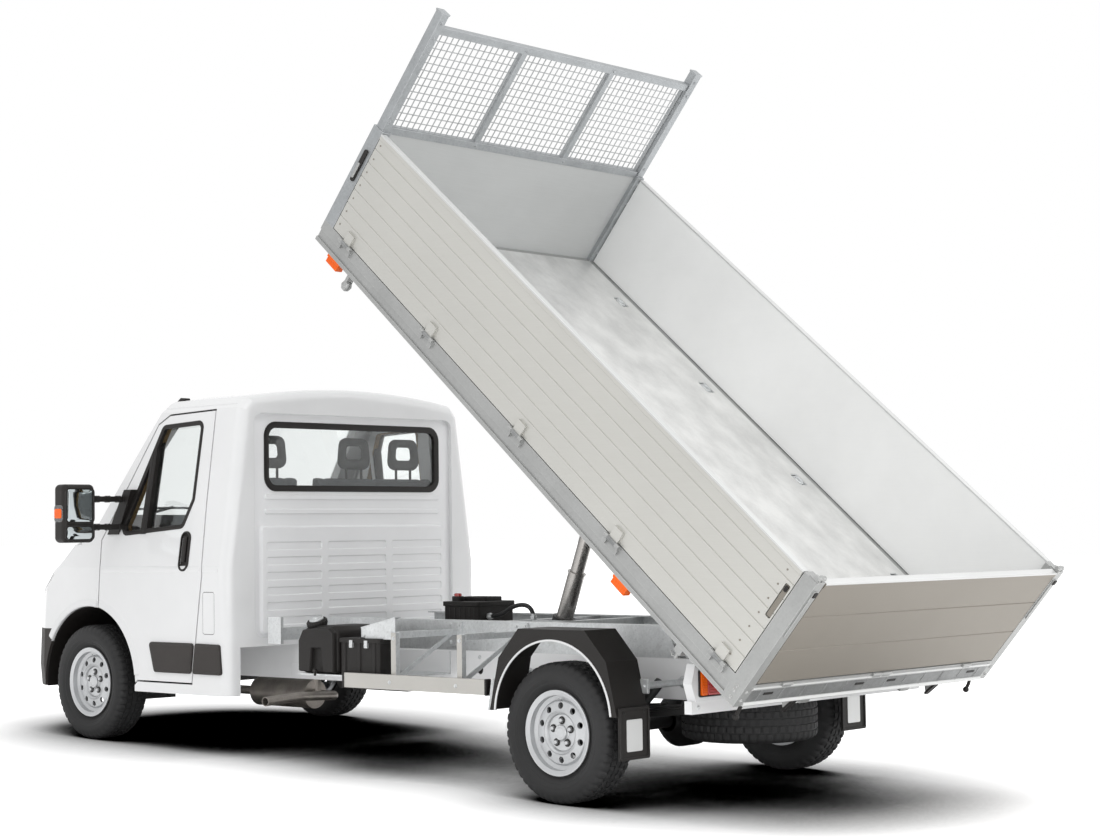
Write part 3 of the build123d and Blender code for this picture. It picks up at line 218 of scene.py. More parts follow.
# Columns: finish, the solids that take it
NODE_FINISHES = [
    # The cab's back panel takes the lighter copy of the white paint: painted light.
    ("wall_white_painted_light", ["cab_back_panel"]),
    ("white", ["cab_shell", "front_wings", "bonnet", "door_left", "door_right"]),
    ("chassis_white", ["frame_rails", "frame_crossmembers", "rear_crossbar"]),
    ("plastic", ["grille", "wheel_arch_liners", "mirror_left", "mirror_right", "mudguards", "oil_tank",
                 "battery_box", "fuel_tank", "power_unit"]),
    ("grey_plastic", ["front_bumper", "dashboard"]),
    ("glass", ["cab_glass", "door_glass_left", "door_glass_right"]),
    ("lamp", ["headlamps"]),
    ("red", ["tail_lamps"]),
    ("amber", ["marker_lamps"]),
    ("cloth", ["seats"]),
    ("cast", ["engine_block"]),
    ("zinc", ["subframe_rails", "subframe_crossmembers", "frame_brackets", "headboard_frame"]),
    ("rail", ["bed_frame"]),
    ("black_steel", ["front_axle_carrier", "rear_axle", "leaf_springs", "knuckle_left", "knuckle_right",
                     "ram_barrel"]),
    ("alu", ["dropside_left", "dropside_right"]),
    ("board_alu", ["headboard_panel"]),
    # The tailgate takes the darker copy of the aluminium: painted shade.
    ("alu_gate_painted_shade", ["tailgate"]),
    ("alu_cross", ["side_guards"]),
    ("tread", ["bed_floor"]),
    ("ram_steel", ["ram_stage_1", "ram_stage_2", "ram_stage_3", "ram_rod"]),
    ("silver", ["rim_front_left", "rim_front_right", "rim_rear_left", "rim_rear_right"]),
    ("rubber", ["tyre_front_left", "tyre_front_right", "tyre_rear_left", "tyre_rear_right", "spare_wheel"]),
    ("hose", ["hydraulic_hose"]),
    ("steel", ["exhaust"]),
]

for key, names in NODE_FINISHES:
    for name in names:
        solid = NODES[name]
        solid.data.materials.clear()
        solid.data.materials.append(MATERIALS[key])


# Faces of a solid that differ from the rest of it
STRAP_FACE_X, STRAP_TOP_Z, SIDE_INNER_X = 1060.5, 958.0, 1031.0
GUARD_RAIL_BACK, FRAME_RAIL_FACE, FACING = 0.9349, 0.4805, 0.9
DROPSIDES = ("dropside_left", "dropside_right")
BED_BODIES = ("bed", "tailgate", *DROPSIDES)
TO_BED = BED.inverted()
INWARD = BED.to_quaternion() @ Vector((0, -1, 0))


def paint(names, look, chosen):
    """Give another finish to those faces of some solids that a test picks."""
    for name in names:
        data = NODES[name].data
        data.materials.append(MATERIALS[look])
        for face in data.polygons:
            if chosen(face):
                face.material_index = len(data.materials) - 1


def on_strap(face):
    """Whether a face is on a dropside's hinge strap."""
    spot = TO_BED @ face.center
    return abs(spot.x) > STRAP_FACE_X and spot.z < STRAP_TOP_Z


def on_rail(face):
    """Whether a face is the tank shelf's back, which lies on a frame rail and is painted with it."""
    return abs(face.center.x) < FRAME_RAIL_FACE and abs(face.normal.x) > FACING


paint(DROPSIDES, "dull_zinc", on_strap)
# Faces inside the bed, on the dropsides and the tailgate, take the lighter aluminium: painted light.
paint(DROPSIDES, "inner_alu_painted_light", lambda face: abs((TO_BED @ face.center).x) < SIDE_INNER_X)
paint(["tailgate"], "inner_alu_painted_light", lambda face: face.normal.dot(INWARD) > FACING)
paint(["side_guards"], "zinc", lambda face: abs(face.center.x) < GUARD_RAIL_BACK)
paint(["frame_brackets"], "chassis_white", on_rail)


# Shapes, gathered in millimetres
def rounded(points, radius, steps=5):
    """A closed outline with its corners turned into arcs."""
    made = []
    count = len(points)
    for index in range(count):
        corner = Vector(points[index])
        back = (Vector(points[index - 1]) - corner).normalized()
        ahead = (Vector(points[(index + 1) % count]) - corner).normalized()
        half = back.angle(ahead) / 2
        middle = corner + (back + ahead).normalized() * (radius / sin(half))
        start = corner + back * (radius / tan(half)) - middle
        end = corner + ahead * (radius / tan(half)) - middle
        for step in range(steps + 1):
            share = step / steps
            spoke = start.lerp(end, share).normalized() * radius
            made.append(tuple(middle + spoke))
    return made


def grown(points, amount):
    """A closed outline with every edge moved outward."""
    area = sum(a[0] * b[1] - b[0] * a[1] for a, b in zip(points, points[1:] + points[:1]))
    way = 1 if area > 0 else -1
    made = []
    for index in range(len(points)):
        corner = Vector(points[index])
        before = (corner - Vector(points[index - 1])).normalized()
        after = (Vector(points[(index + 1) % len(points)]) - corner).normalized()
        share = Vector((before.y + after.y, -before.x - after.x)) * way
        made.append(tuple(corner + share * (2 * amount / share.length_squared)))
    return made


def rectangle(u0, u1, v0, v1):
    return [(u0, v0), (u1, v0), (u1, v1), (u0, v1)]


PULLS = {"x": lambda u, v, w: (w, u, v), "y": lambda u, v, w: (u, w, v), "z": lambda u, v, w: (u, v, w)}


class Kit:
    """A piece's mesh while it is gathered; new points are put where at says."""

    def __init__(self):
        self.mesh = bmesh.new()
        self.at = Matrix.Identity(4)

    def skin(self, rings, caps=True, row_closed=False):
        """Faces between a row of closed point rings, with flat ends or joined up as a band."""
        loops = [[self.mesh.verts.new(self.at @ Vector(point)) for point in ring] for ring in rings]
        count = len(loops[0])
        pairs = list(zip(loops, loops[1:]))
        if row_closed:
            pairs.append((loops[-1], loops[0]))
        for near, far in pairs:
            for i in range(count):
                j = (i + 1) % count
                self.mesh.faces.new((near[i], near[j], far[j], far[i]))
        if caps and not row_closed:
            self.mesh.faces.new(loops[0][::-1])
            self.mesh.faces.new(loops[-1])
        return self

    def box(self, x0, x1, y0, y1, z0, z1):
        return self.prism("z", rectangle(x0, x1, y0, y1), z0, z1)

    def prism(self, way, points, low, high):
        """An outline pulled along x, y or z: its points are (y, z), (x, z) or (x, y)."""
        return self.skin([[PULLS[way](u, v, w) for u, v in points] for w in (low, high)])

    def frame(self, way, outer, inner, low, high):
        """A flat frame between two outlines of as many points."""
        loops = [(outer, low), (outer, high), (inner, high), (inner, low)]
        return self.skin([[PULLS[way](u, v, w) for u, v in line] for line, w in loops], row_closed=True)

    def lathe(self, profile, middle, way, sides=24, closed=False):
        """A turned shape: profile columns are how far along the axis, radius."""
        way = Vector(way).normalized()
        side = way.orthogonal().normalized()
        up = way.cross(side)
        rings = []
        for along, radius in profile:
            base = Vector(middle) + way * along
            rings.append([base + (side * cos(2 * pi * i / sides) + up * sin(2 * pi * i / sides)) * radius
                          for i in range(sides)])
        return self.skin(rings, row_closed=closed)

    def rod(self, start, end, radius, sides=16):
        run = Vector(end) - Vector(start)
        return self.lathe([(0, radius), (run.length, radius)], start, run, sides)

    def tube(self, path, radius, sides=10):
        """A round bar through a row of points."""
        points = [Vector(p) for p in path]
        side = None
        rings = []
        for index, point in enumerate(points):
            ahead = (points[min(index + 1, len(points) - 1)] - points[max(index - 1, 0)]).normalized()
            side = side or ahead.orthogonal()
            side = (side - ahead * side.dot(ahead)).normalized()
            up = ahead.cross(side)
            rings.append([point + (side * cos(2 * pi * i / sides) + up * sin(2 * pi * i / sides)) * radius
                          for i in range(sides)])
        return self.skin(rings)

    def bolt(self, place, way, size):
        """A hexagon head on its washer."""
        self.lathe([(-1, size * 1.2), (size * 0.2, size * 1.2)], place, way, 14)
        return self.lathe([(0, size * 0.9), (size * 0.7, size * 0.9), (size * 0.85, size * 0.7)],
                          place, way, 6)

    def both(self):
        """Add the other side's half."""
        half = self.mesh.verts[:] + self.mesh.edges[:] + self.mesh.faces[:]
        copy = bmesh.ops.duplicate(self.mesh, geom=half)
        moved = [item for item in copy["geom"] if isinstance(item, bmesh.types.BMVert)]
        bmesh.ops.scale(self.mesh, vec=(-1, 1, 1), verts=moved)
        return self


def add(name, kit, look, body="chassis", replaces=(), soften=1.0, flip=False, smooth=35):
    """Turn a gathered mesh into a piece that rides on a body; its slot is its finish's."""
    if flip:
        bmesh.ops.scale(kit.mesh, vec=(-1, 1, 1), verts=kit.mesh.verts)
    bmesh.ops.transform(kit.mesh, matrix=BED if body in BED_BODIES else STANCE, verts=kit.mesh.verts)
    bmesh.ops.recalc_face_normals(kit.mesh, faces=kit.mesh.faces)
    data = bpy.data.meshes.new(name)
    kit.mesh.to_mesh(data)
    kit.mesh.free()
    data.polygons.foreach_set("use_smooth", [True] * len(data.polygons))
    data.set_sharp_from_angle(angle=radians(smooth))
    data.materials.append(MATERIALS[look])
    piece = bpy.data.objects.new(name, data)
    bpy.context.scene.collection.objects.link(piece)
    if soften:
        bevel = piece.modifiers.new("soft_edges", "BEVEL")
        bevel.width = soften / 1000
        bevel.segments = 2
        bevel.limit_method = "ANGLE"
        bevel.angle_limit = radians(smooth)
    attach(piece, body)
    if replaces:
        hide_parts(*replaces)
    return piece


# Cab
BELT_Z, SIDE_X, SIDE_SLOPE = 1030.0, 1000.0, 132.0 / 910.0
WINDOW_LINE = [(275.0, 1222.0), (590.0, 1858.0), (960.0, 1872.0), (952.0, 1420.0), (875.0, 1262.0)]
CREASE = [(996.0, 990.0), (1003.0, 1003.0), (1004.5, 1018.0), (1000.0, 1036.0), (994.0, 1040.0)]
WINDOW_RISE = 636.0 / 315.0
HANDLE_Y, HANDLE_Z = 919.0, 1122.0
ARCH_STEPS = 30
DOOR_EDGE = [(103.0, 812.0), (118.0, 1042.0), (104.0, 1190.0), (540.0, 1868.0), (640.0, 1918.0),
             (1060.0, 1930.0), (1066.0, 1412.0), (1086.0, 985.0), (1068.0, 880.0), (992.0, 372.0),
             (490.0, 372.0)]
FUEL_FLAP = [(1100.0, 653.0), (1200.0, 653.0), (1200.0, 888.0), (1100.0, 888.0)]
# Columns: share of the quarter bar's width, height over the panel
QUARTER_BAR = [(0, -58), (0, 3), (0.15, 5), (0.4, 5), (0.5, 1), (0.6, 5), (0.85, 5), (1, 3), (1, -58)]
QUARTER_BAR_Z = 1226.0
# Columns: middle height, height of each mirror glass
MIRROR_GLASSES = [(1396.0, 196.0), (1236.0, 78.0)]
# Half the rear window's width, its sill and its top
REAR_WINDOW = (680.0, 1480.0, 1844.0)


def side_x(z):
    """Where the cab's side lies at a height."""
    return SIDE_X - max(0.0, z - BELT_Z) * SIDE_SLOPE


def on_side(y, z):
    """A place on the cab's side: first axis outward, second to the rear, third up the panel."""
    lean = atan2(SIDE_SLOPE, 1.0) if z > BELT_Z else 0.0
    return Matrix.Translation((side_x(z), y, z)) @ Matrix.Rotation(-lean, 4, "Y")


def side_band(kit, loops):
    """A band on the cab's side through outlines: columns are points, height over the panel."""
    kit.skin([[(side_x(z) + height, y, z) for y, z in points] for points, height in loops], row_closed=True)


def make_door_trim(side, flip):
    """A door's seals, linings, handle, moulding, mirror glasses and repeater."""
    body = f"door_{side}"
    add(f"door_arch_lip_{side}", arch_lip(461, 76.8, 7), "white", body, flip=flip, soften=2)
    crease = Kit().prism("y", CREASE, 128, 1068)
    add(f"door_crease_{side}", crease, "white", body, flip=flip, soften=2, smooth=60)
    seal = Kit()
    outer, crest, inner = (rounded(grown(WINDOW_LINE, d), r) for d, r in [(9, 48), (2, 42), (-17, 26)])
    side_band(seal, [(outer, -2), (outer, 2), (crest, 5), (inner, 1), (inner, -20), (outer, -20)])
    # Quarter bar, cut off under the window's sloping edge
    # Columns: whether that end follows the window's slope, front y, rear y
    rings = []
    for sloping, low, high in [(False, 478.0, 532.0), (True, 500.0, 552.0)]:
        ring = []
        for share, height in QUARTER_BAR:
            y = low + (high - low) * share
            edge_z = WINDOW_LINE[0][1] + (y - WINDOW_LINE[0][0]) * WINDOW_RISE - 6
            z = edge_z if sloping else QUARTER_BAR_Z
            ring.append((side_x(z) + height, y, z))
        rings.append(ring)
    seal.skin(rings)
    add(f"window_seal_{side}", seal, "plastic", body, flip=flip, soften=0)

    panel = Kit().prism("x", rounded([(560, 690), (1004, 690), (1028, 1018), (296, 1018), (296, 900)], 34),
                        929, 946)
    panel.prism("y", rounded([(934, 900), (884, 908), (872, 940), (888, 956), (934, 962)], 7), 520, 900)
    panel.prism("y", [(932, 702), (890, 712), (880, 800), (890, 804), (900, 728), (932, 722)], 610, 970)
    panel.tube([(932, 470, 985), (912, 476, 985), (908, 500, 985), (908, 540, 985), (914, 560, 985)], 8, 10)
    add(f"door_inner_panel_{side}", panel, "grey_plastic", body, flip=flip, soften=3)

    # The window lining is tan: a painted reflection.
    lining = Kit()
    outer, inner = (rounded(grown(WINDOW_LINE, d), r) for d, r in [(1, 40), (-7, 33)])
    side_band(lining, [(outer, -26), (inner, -26), (inner, -60), (outer, -60)])
    add(f"window_lining_{side}", lining, "tan", body, flip=flip, soften=0)

    handle = Kit()
    handle.at = on_side(HANDLE_Y, HANDLE_Z)
    cup = rounded(rectangle(-46, 46, -116, 116), 42)
    lip = rounded(rectangle(-35, 35, -106, 106), 32)
    floor = rounded(rectangle(-27, 27, -98, 98), 25)
    handle.skin([[PULLS["x"](u, v, w) for u, v in line]
                 for line, w in [(cup, -3), (cup, 5), (lip, 10), (floor, -13), (floor, -15)]])
    grip = [(-15, -2), (-16, 7), (-10, 15), (10, 15), (16, 7), (15, -2)]
    handle.prism("z", [(n, u) for u, n in grip], -62, 84)
    for low, high in [(-62, -44), (66, 84)]:
        handle.box(-14, 0, -11, 11, low, high)
    add(f"door_handle_{side}", handle, "plastic", body, flip=flip, soften=1.6)
    lock = Kit()
    lock.at = on_side(HANDLE_Y, HANDLE_Z)
    lock.lathe([(-15, 10), (-4, 10), (-3, 8), (-5, 7)], (0, 0, -80), OUT, 20)
    add(f"door_lock_{side}", lock, "chrome", body, flip=flip, soften=0.5)

    strip = Kit().prism("x", rounded([(603, 598), (1019, 598), (995, 424), (655, 424)], 20), 992, 1013)
    strip.prism("x", rounded([(616, 588), (1008, 588), (988, 434), (662, 434)], 16), 1008, 1016)
    add(f"door_moulding_{side}", strip, "grey_plastic", body, flip=flip, soften=4)

    mirror = Kit()
    for level, tall in MIRROR_GLASSES:
        low, high = level - tall / 2, level + tall / 2
        edge = rounded(rectangle(1221, 1399, low + 4, high - 4), 20)
        crown = rounded(rectangle(1240, 1380, low + 20, high - 20), 12)
        mirror.skin([[(u, w, v) for u, v in line]
                     for line, w in [(edge, 349), (edge, 351.5), (crown, 353.5)]])
    add(f"mirror_glass_{side}", mirror, "mirror", body, flip=flip, soften=0)
    case = Kit()
    for level, tall in MIRROR_GLASSES:
        low, high = level - tall / 2, level + tall / 2
        case.frame("y", rounded(rectangle(1209, 1411, low - 8, high + 8), 30),
                   rounded(rectangle(1219, 1401, low + 2, high - 2), 22), 346, 359)
    for level in (1270, 1435):
        for x in (1000, 1075, 1150):
            case.frame("x", rounded(rectangle(281, 329, level - 20, level + 20), 8),
                       rounded(rectangle(284, 326, level - 17, level + 17), 6), x, x + 14)
    case.box(1206, 1232, 276, 334, 1244, 1462)
    add(f"mirror_frames_{side}", case, "plastic", body, flip=flip, soften=2)
    lens = Kit().prism("x", rounded(rectangle(258, 338, 1300, 1400), 18), 1408, 1422)
    add(f"repeater_case_{side}", lens, "lamp", body, flip=flip, soften=3)
    amber = Kit().prism("x", rounded(rectangle(264, 332, 1322, 1378), 12), 1412, 1425)
    for step in range(5):
        amber.box(1424, 1426.5, 270, 326, 1327 + step * 10, 1332 + step * 10)
    add(f"repeater_{side}", amber, "amber", body, flip=flip, soften=1.5)


def arc(radius, middle_y, middle_z, start, end, steps):
    """Points on an arc in (y, z), its angles in degrees from the rear."""
    return [(middle_y + radius * cos(radians(start + (end - start) * i / steps)),
             middle_z + radius * sin(radians(start + (end - start) * i / steps))) for i in range(steps + 1)]


def make_cab_trim():
    """Mouldings, door gap seals, rear window seal, arch lips and aerial foot."""
    strip = Kit().prism("x", rounded([(1038, 598), (1256, 595), (1268, 424), (1013, 424)], 14), 990, 1013)
    strip.prism("x", rounded([(1047, 588), (1248, 586), (1258, 434), (1024, 434)], 10), 1008, 1016)
    seal = Kit()
    rings = []
    inside, outside = grown(DOOR_EDGE, 1.5), grown(DOOR_EDGE, 10.4)
    for near, far in zip(inside, outside):
        rings.append([(side_x(z) - deep, y, z)
                      for (y, z), deep in [(near, 11), (far, 11), (far, 17), (near, 17)]])
    seal.skin(rings[1:-1])
    # A thin black frame in the fuel flap's outline: painted shade of its gap.
    seal.frame("x", rounded(grown(FUEL_FLAP, 3), 17), rounded(FUEL_FLAP, 14), 996.4, 998.6)
    add("door_gap_seals_and_flap_shade", seal.both(), "plastic", soften=0)
    add("cab_creases", Kit().prism("y", CREASE, 1104, 1236).both(), "white", soften=2, smooth=60)
    add("cab_mouldings", strip.both(), "grey_plastic", soften=4)

    half, low, high = REAR_WINDOW
    seal = Kit()
    rings = []
    for grow, radius, y in [(20, 86, 1284), (20, 86, 1290), (10, 78, 1294), (-16, 54, 1288),
                            (-16, 54, 1262), (20, 86, 1262)]:
        line = rounded(rectangle(-half - grow, half + grow, low - grow, high + grow), radius, 8)
        rings.append([(u, y, v) for u, v in line])
    seal.skin(rings, row_closed=True)
    add("rear_window_seal", seal, "plastic", soften=0)

    add("arch_lips", arch_lip(456, 147, 80.6).both(), "white", soften=2)
    mast = Kit().prism("x", rounded([(560, 1988), (640, 2000), (660, 2026), (622, 2030)], 7), 735, 785)
    add("roof_aerial_foot", mast, "plastic", soften=3)


def arch_lip(radius, start, end):
    """The raised lip round a front wheel arch, between two angles."""
    kit = Kit()
    rings = []
    # Columns: x, how far outside the arch
    section = [(986, -2), (1003, -2), (1009, 6), (1008, 30), (998, 48), (986, 42)]
    for step in range(ARCH_STEPS + 1):
        turn = radians(start + (end - start) * step / ARCH_STEPS)
        rings.append([(x, (radius + out) * cos(turn), TYRE_RADIUS + (radius + out) * sin(turn))
                      for x, out in section])
    return kit.skin(rings)


def screen_place(x, z, out):
    """A point in front of the windscreen."""
    bow = (x / 640) ** 2
    y = -140 + 40 * bow + (z - 1290 + 18 * bow) * 640 / 715
    return (x, y - 0.745 * out, z + 0.667 * out)


def make_front_trim():
    """Wipers, grille bars, plate holder and headlamp bowls."""
    wiper = Kit()
    for start, end, pivot in [(-700, -60, -120), (0, 640, 560)]:
        line = [screen_place(start + (end - start) * i / 8, 1372 + 10 * sin(pi * i / 8), 14)
                for i in range(9)]
        wiper.tube(line, 7, 8)
        arm = [screen_place(pivot, 1302, 24), screen_place(pivot - 60, 1330, 32),
               screen_place((start + end) / 2, 1380, 24)]
        wiper.tube(arm, 9, 8)
        wiper.lathe([(-34, 16), (6, 16), (10, 10)], screen_place(pivot, 1300, 22), (0, -0.745, 0.667), 16)
    add("wipers", wiper, "plastic", soften=0)

    bars = Kit()
    for step in range(-21, 22):
        x = step * 20.0
        y = -948 + 80 * (x / 640) ** 2 + 34
        bars.box(x - 2.5, x + 2.5, y, y + 14, 690, 870)
    add("grille_bars", bars, "plastic", soften=0.8)

    plate = Kit().prism("y", rounded(rectangle(-260, 260, 540, 650), 12), -966, -962)
    plate.prism("y", rounded(rectangle(-268, 268, 532, 658), 14), -962, -942)
    add("front_plate_holder", plate, "plastic", soften=1.5)
    bowls = Kit()
    # Columns: x, front y, height, radius
    for x, y, z, radius in [(610.0, -806.0, 862.0, 52.0), (735.0, -742.0, 872.0, 50.0)]:
        bowls.lathe([(0, radius), (14, radius - 4), (44, radius * 0.6), (58, 10), (61, 10),
                     (48, radius * 0.66), (17, radius), (0, radius + 3)],
                    (x, y, z), REARWARD, 28, closed=True)
        bowls.lathe([(20, 9), (46, 9), (58, 6)], (x, y, z), REARWARD, 14)
    add("headlamp_bowls", bowls.both(), "chrome", soften=0)


def make_engine_cover():
    """The ribbed cover on the engine, under the bonnet."""
    cover = Kit()
    outline = rounded(rectangle(-250, 250, -560, -180), 46)
    cover.skin([[(x, y, z) for x, y in grown(outline, -inset)]
                for z, inset in [(878, 0), (898, 2), (908, 10), (912, 26)]])
    for step in range(-4, 5):
        cover.box(step * 46 - 8, step * 46 + 8, -500, -300, 908, 918)
    cover.lathe([(0, 34), (18, 34), (22, 28), (22, 8)], (150, -236, 908), UP, 20)
    add("engine_cover", cover, "plastic", soften=2)


# Seats
PRESSURE, SWELL_FRAMES = 4, 20
SEAM_WIDTH, SEAM_DEEPEST = 14, 12
CUSHION_VOXEL, CUSHION_SWELL, BACKREST_SWELL = 0.012, 0.016, 0.014
HEADREST_Y, HEADREST_HALF, HEADREST_STEPS = 1120, 29, 12
# Columns: name, x from, x to, the headrests' middles
SEATS = [("driver", 310.0, 780.0, [525.0]), ("bench", -800.0, 190.0, [-552.0, -140.0])]


def soft_form(kit, name, cap, dents):
    """A padded form: remeshed, swollen by a short cloth simulation and drawn in along its sewn lines."""
    rough = add(name + "_form", kit, "cloth", soften=0)
    remesh = rough.modifiers.new("even", "REMESH")
    remesh.mode = "VOXEL"
    remesh.voxel_size = CUSHION_VOXEL
    bpy.context.view_layer.update()
    data = bpy.data.meshes.new_from_object(rough.evaluated_get(bpy.context.evaluated_depsgraph_get()))
    bpy.data.objects.remove(rough)
    pad = bpy.data.objects.new(name, data)
    data.name = name
    bpy.context.scene.collection.objects.link(pad)
    cloth = pad.modifiers.new("swell", "CLOTH")
    cloth.settings.use_pressure = True
    cloth.settings.uniform_pressure_force = PRESSURE
    cloth.settings.effector_weights.gravity = 0
    cloth.point_cache.frame_end = SWELL_FRAMES
    for moment in range(1, SWELL_FRAMES + 1):
        bpy.context.scene.frame_set(moment)
    swollen = pad.evaluated_get(bpy.context.evaluated_depsgraph_get()).data
    ends = [vertex.co.copy() for vertex in swollen.vertices]
    pad.modifiers.remove(cloth)
    for vertex, end in zip(data.vertices, ends):
        move = end - vertex.co
        vertex.co += move * min(1.0, cap / max(move.length, 1e-9))
    bpy.context.scene.frame_set(1)
    back = STANCE.inverted()
    normals = [vertex.normal.copy() for vertex in data.vertices]
    for vertex, normal in zip(data.vertices, normals):
        spot = back @ vertex.co
        depth = sum(deep * exp(-((along(spot) - line) / SEAM_WIDTH) ** 2) for along, line, deep in dents)
        vertex.co -= normal * min(depth, SEAM_DEEPEST) / 1000
    data.polygons.foreach_set("use_smooth", [True] * len(data.polygons))
    data.materials.clear()
    data.materials.append(MATERIALS["cloth"])
    finer = pad.modifiers.new("finer", "SUBSURF")
    finer.levels = 1
    finer.render_levels = 1
    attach(pad, "chassis")
    return pad


def make_seats():
    """Padded seats and open headrests on their bases."""
    bases = Kit()
    for name, x0, x1, places in SEATS:
        bases.box(x0 + 60, x1 - 60, 570, 910, 617, 752)
        bases.box(x0 + 30, x1 - 30, 540, 940, 745, 762)
        lines = [(lambda s: s.y, 640.0, 6.0), (lambda s: s.y, 790.0, 6.0)]
        sides = [(lambda s: s.x, x0 + 95, 7.0), (lambda s: s.x, x1 - 95, 7.0)]
        middle = [(lambda s: s.x, (x0 + x1) / 2, 9.0)] if len(places) == 2 else []
        seat = Kit().prism("x", rounded([(512, 772), (968, 764), (965, 880), (520, 886)], 34),
                           x0 + 12, x1 - 12)
        soft_form(seat, f"{name}_cushion", CUSHION_SWELL, lines + sides + middle)
        leaning = rounded([(985, 812), (1020, 806), (1148, 1548), (1090, 1570), (972, 905)], 24)
        rest = Kit().prism("x", leaning, x0 + 14, x1 - 14)
        soft_form(rest, f"{name}_backrest", BACKREST_SWELL,
                  [(lambda s: s.z, 1060.0, 6.0), (lambda s: s.z, 1240.0, 6.0)] + sides + middle)
        for number, centre in enumerate(places, 1):
            outer = rounded([(centre - 128, 1600), (centre + 128, 1600), (centre + 108, 1792),
                             (centre - 108, 1792)], 48)
            inner = rounded([(centre - 76, 1662), (centre + 76, 1662), (centre + 66, 1742),
                             (centre - 66, 1742)], 28)
            ring = Kit()
            rings = []
            for step in range(HEADREST_STEPS):
                turn = 2 * pi * step / HEADREST_STEPS
                share = 0.5 + 0.5 * cos(turn)
                y = HEADREST_Y + HEADREST_HALF * sin(turn)
                rings.append([(a[0] * share + b[0] * (1 - share), y, a[1] * share + b[1] * (1 - share))
                              for a, b in zip(outer, inner)])
            ring.skin(rings, row_closed=True)
            soft = add(f"{name}_headrest_{number}", ring, "headrest", soften=0, smooth=80)
            for offset in (-60, 60):
                bases.rod((centre + offset, HEADREST_Y, 1530), (centre + offset, HEADREST_Y, 1614), 8)
    add("seat_bases", bases, "plastic", replaces=["seats"], soften=4)


# Wheels
TREAD_STEPS, GROOVE_RADIUS = 192, 332.5
NUTS, NUT_CIRCLE = 5, 59
RIBS = [(101.0, 308.0), (97.0, 321.0), (90.0, 331.0), (79.0, 337.5), (58.0, 340.5)]
SIDEWALL = [(76.0, 191.0), (76.0, 214.0), (86.0, 226.0), (97.0, 238.0), (98.4, 241.0), (98.2, 244.0),
            (101.0, 248.0), (104.6, 258.0), (106.2, 262.0), (105.6, 266.0), (107.3, 276.0), (107.0, 288.0),
            (104.0, 301.0)]


def tyre_kit(place):
    """A tyre with sidewall rings, four grooves and staggered tread blocks."""
    # Columns: x from the middle plane, radius, block row or None
    half = [(x, r, None) for x, r in SIDEWALL] + [(x, r, 0) for x, r in RIBS]
    half += [(57.0, GROOVE_RADIUS, None), (50.0, GROOVE_RADIUS, None), (49.0, TYRE_RADIUS, 2),
             (22.0, TYRE_RADIUS, 2), (21.0, GROOVE_RADIUS, None), (14.0, GROOVE_RADIUS, None),
             (13.0, TYRE_RADIUS, 1)]
    line = half + [(-x, r, None if row is None else row + 1) for x, r, row in reversed(half)]
    rings = []
    for x, radius, row in line:
        ring = []
        for i in range(TREAD_STEPS):
            cut = row is not None and (i + row) % 4 == 0
            reach = radius - (7 if cut and abs(x) < 95 else 4 if cut else 0)
            turn = 2 * pi * i / TREAD_STEPS
            ring.append((x * (0.985 if cut and abs(x) > 85 else 1), reach * cos(turn), reach * sin(turn)))
        rings.append(ring)
    kit = Kit()
    kit.at = place
    return kit.skin(rings, row_closed=True)


def make_wheels():
    """Treaded tyres, wheel nuts and the spare wheel."""
    # Columns: corner, x of its middle plane, y, z
    corners = [("front_left", FRONT_X, 0.0, TYRE_RADIUS), ("front_right", -FRONT_X, 0.0, TYRE_RADIUS),
               ("rear_left", REAR_X, REAR_Y, REAR_Z), ("rear_right", -REAR_X, REAR_Y, REAR_Z)]
    for name, x, y, z in corners:
        place = Matrix.Translation((x, y, z)) @ Matrix.Rotation(pi if x < 0 else 0, 4, "Z")
        body = f"wheel_{name}"
        add(f"tyre_tread_{name}", tyre_kit(place), "rubber", body, replaces=[f"tyre_{name}"], soften=0,
            smooth=28)
        nuts, cups = Kit(), Kit()
        nuts.at = cups.at = place
        for step in range(NUTS):
            turn = 2 * pi * (step + 0.25) / NUTS
            spot = (50, NUT_CIRCLE * cos(turn), NUT_CIRCLE * sin(turn))
            nuts.lathe([(0, 11), (13, 11), (16, 8)], spot, OUT, 6)
            cups.lathe([(-1, 19), (3.5, 19), (3.5, 12), (-1, 12)], spot, OUT, 20, closed=True)
        nuts.lathe([(48, 38), (62, 38), (67, 34), (67, 26), (65, 24), (65, 1)], (0, 0, 0), OUT, 32)
        nuts.tube([(50, 0, 150), (66, 0, 158), (76, 0, 164)], 4, 8)
        add(f"wheel_nuts_{name}", nuts, "silver", body, soften=0.8)
        add(f"nut_seats_{name}", cups, "plastic", body, soften=0)
    spare = Matrix.Translation((0, SPARE_Y, SPARE_Z)) @ Matrix.Rotation(-pi / 2, 4, "Y")
    add("spare_tyre", tyre_kit(spare), "rubber", replaces=["spare_wheel"], soften=0, smooth=28)
    disc = Kit()
    disc.at = spare
    disc.lathe([(-60, 189), (-20, 189), (-12, 160), (-2, 150), (4, 100), (-2, 92), (-2, 40), (-12, 40),
                (-12, 88), (-8, 140), (-22, 160), (-60, 170)], (0, 0, 0), OUT, 48, closed=True)
    add("spare_disc", disc, "silver", soften=1)


# Frame and what hangs on it
TANK_NECK, TANK_TILT, CAP_RIBS = (868.0, 1940.0, 700.0), (0.34, 0.06, 0.94), 24
HOSE_LENGTH, HOSE_DIAMETER = 0.400, 0.024
HOSE_ROUTE = [(60, 2450, 740), (60, 2530, 740), (60, 2640, 800), (60, 2740, 810), (60, 2792, 770),
              (60, 2792, 728)]


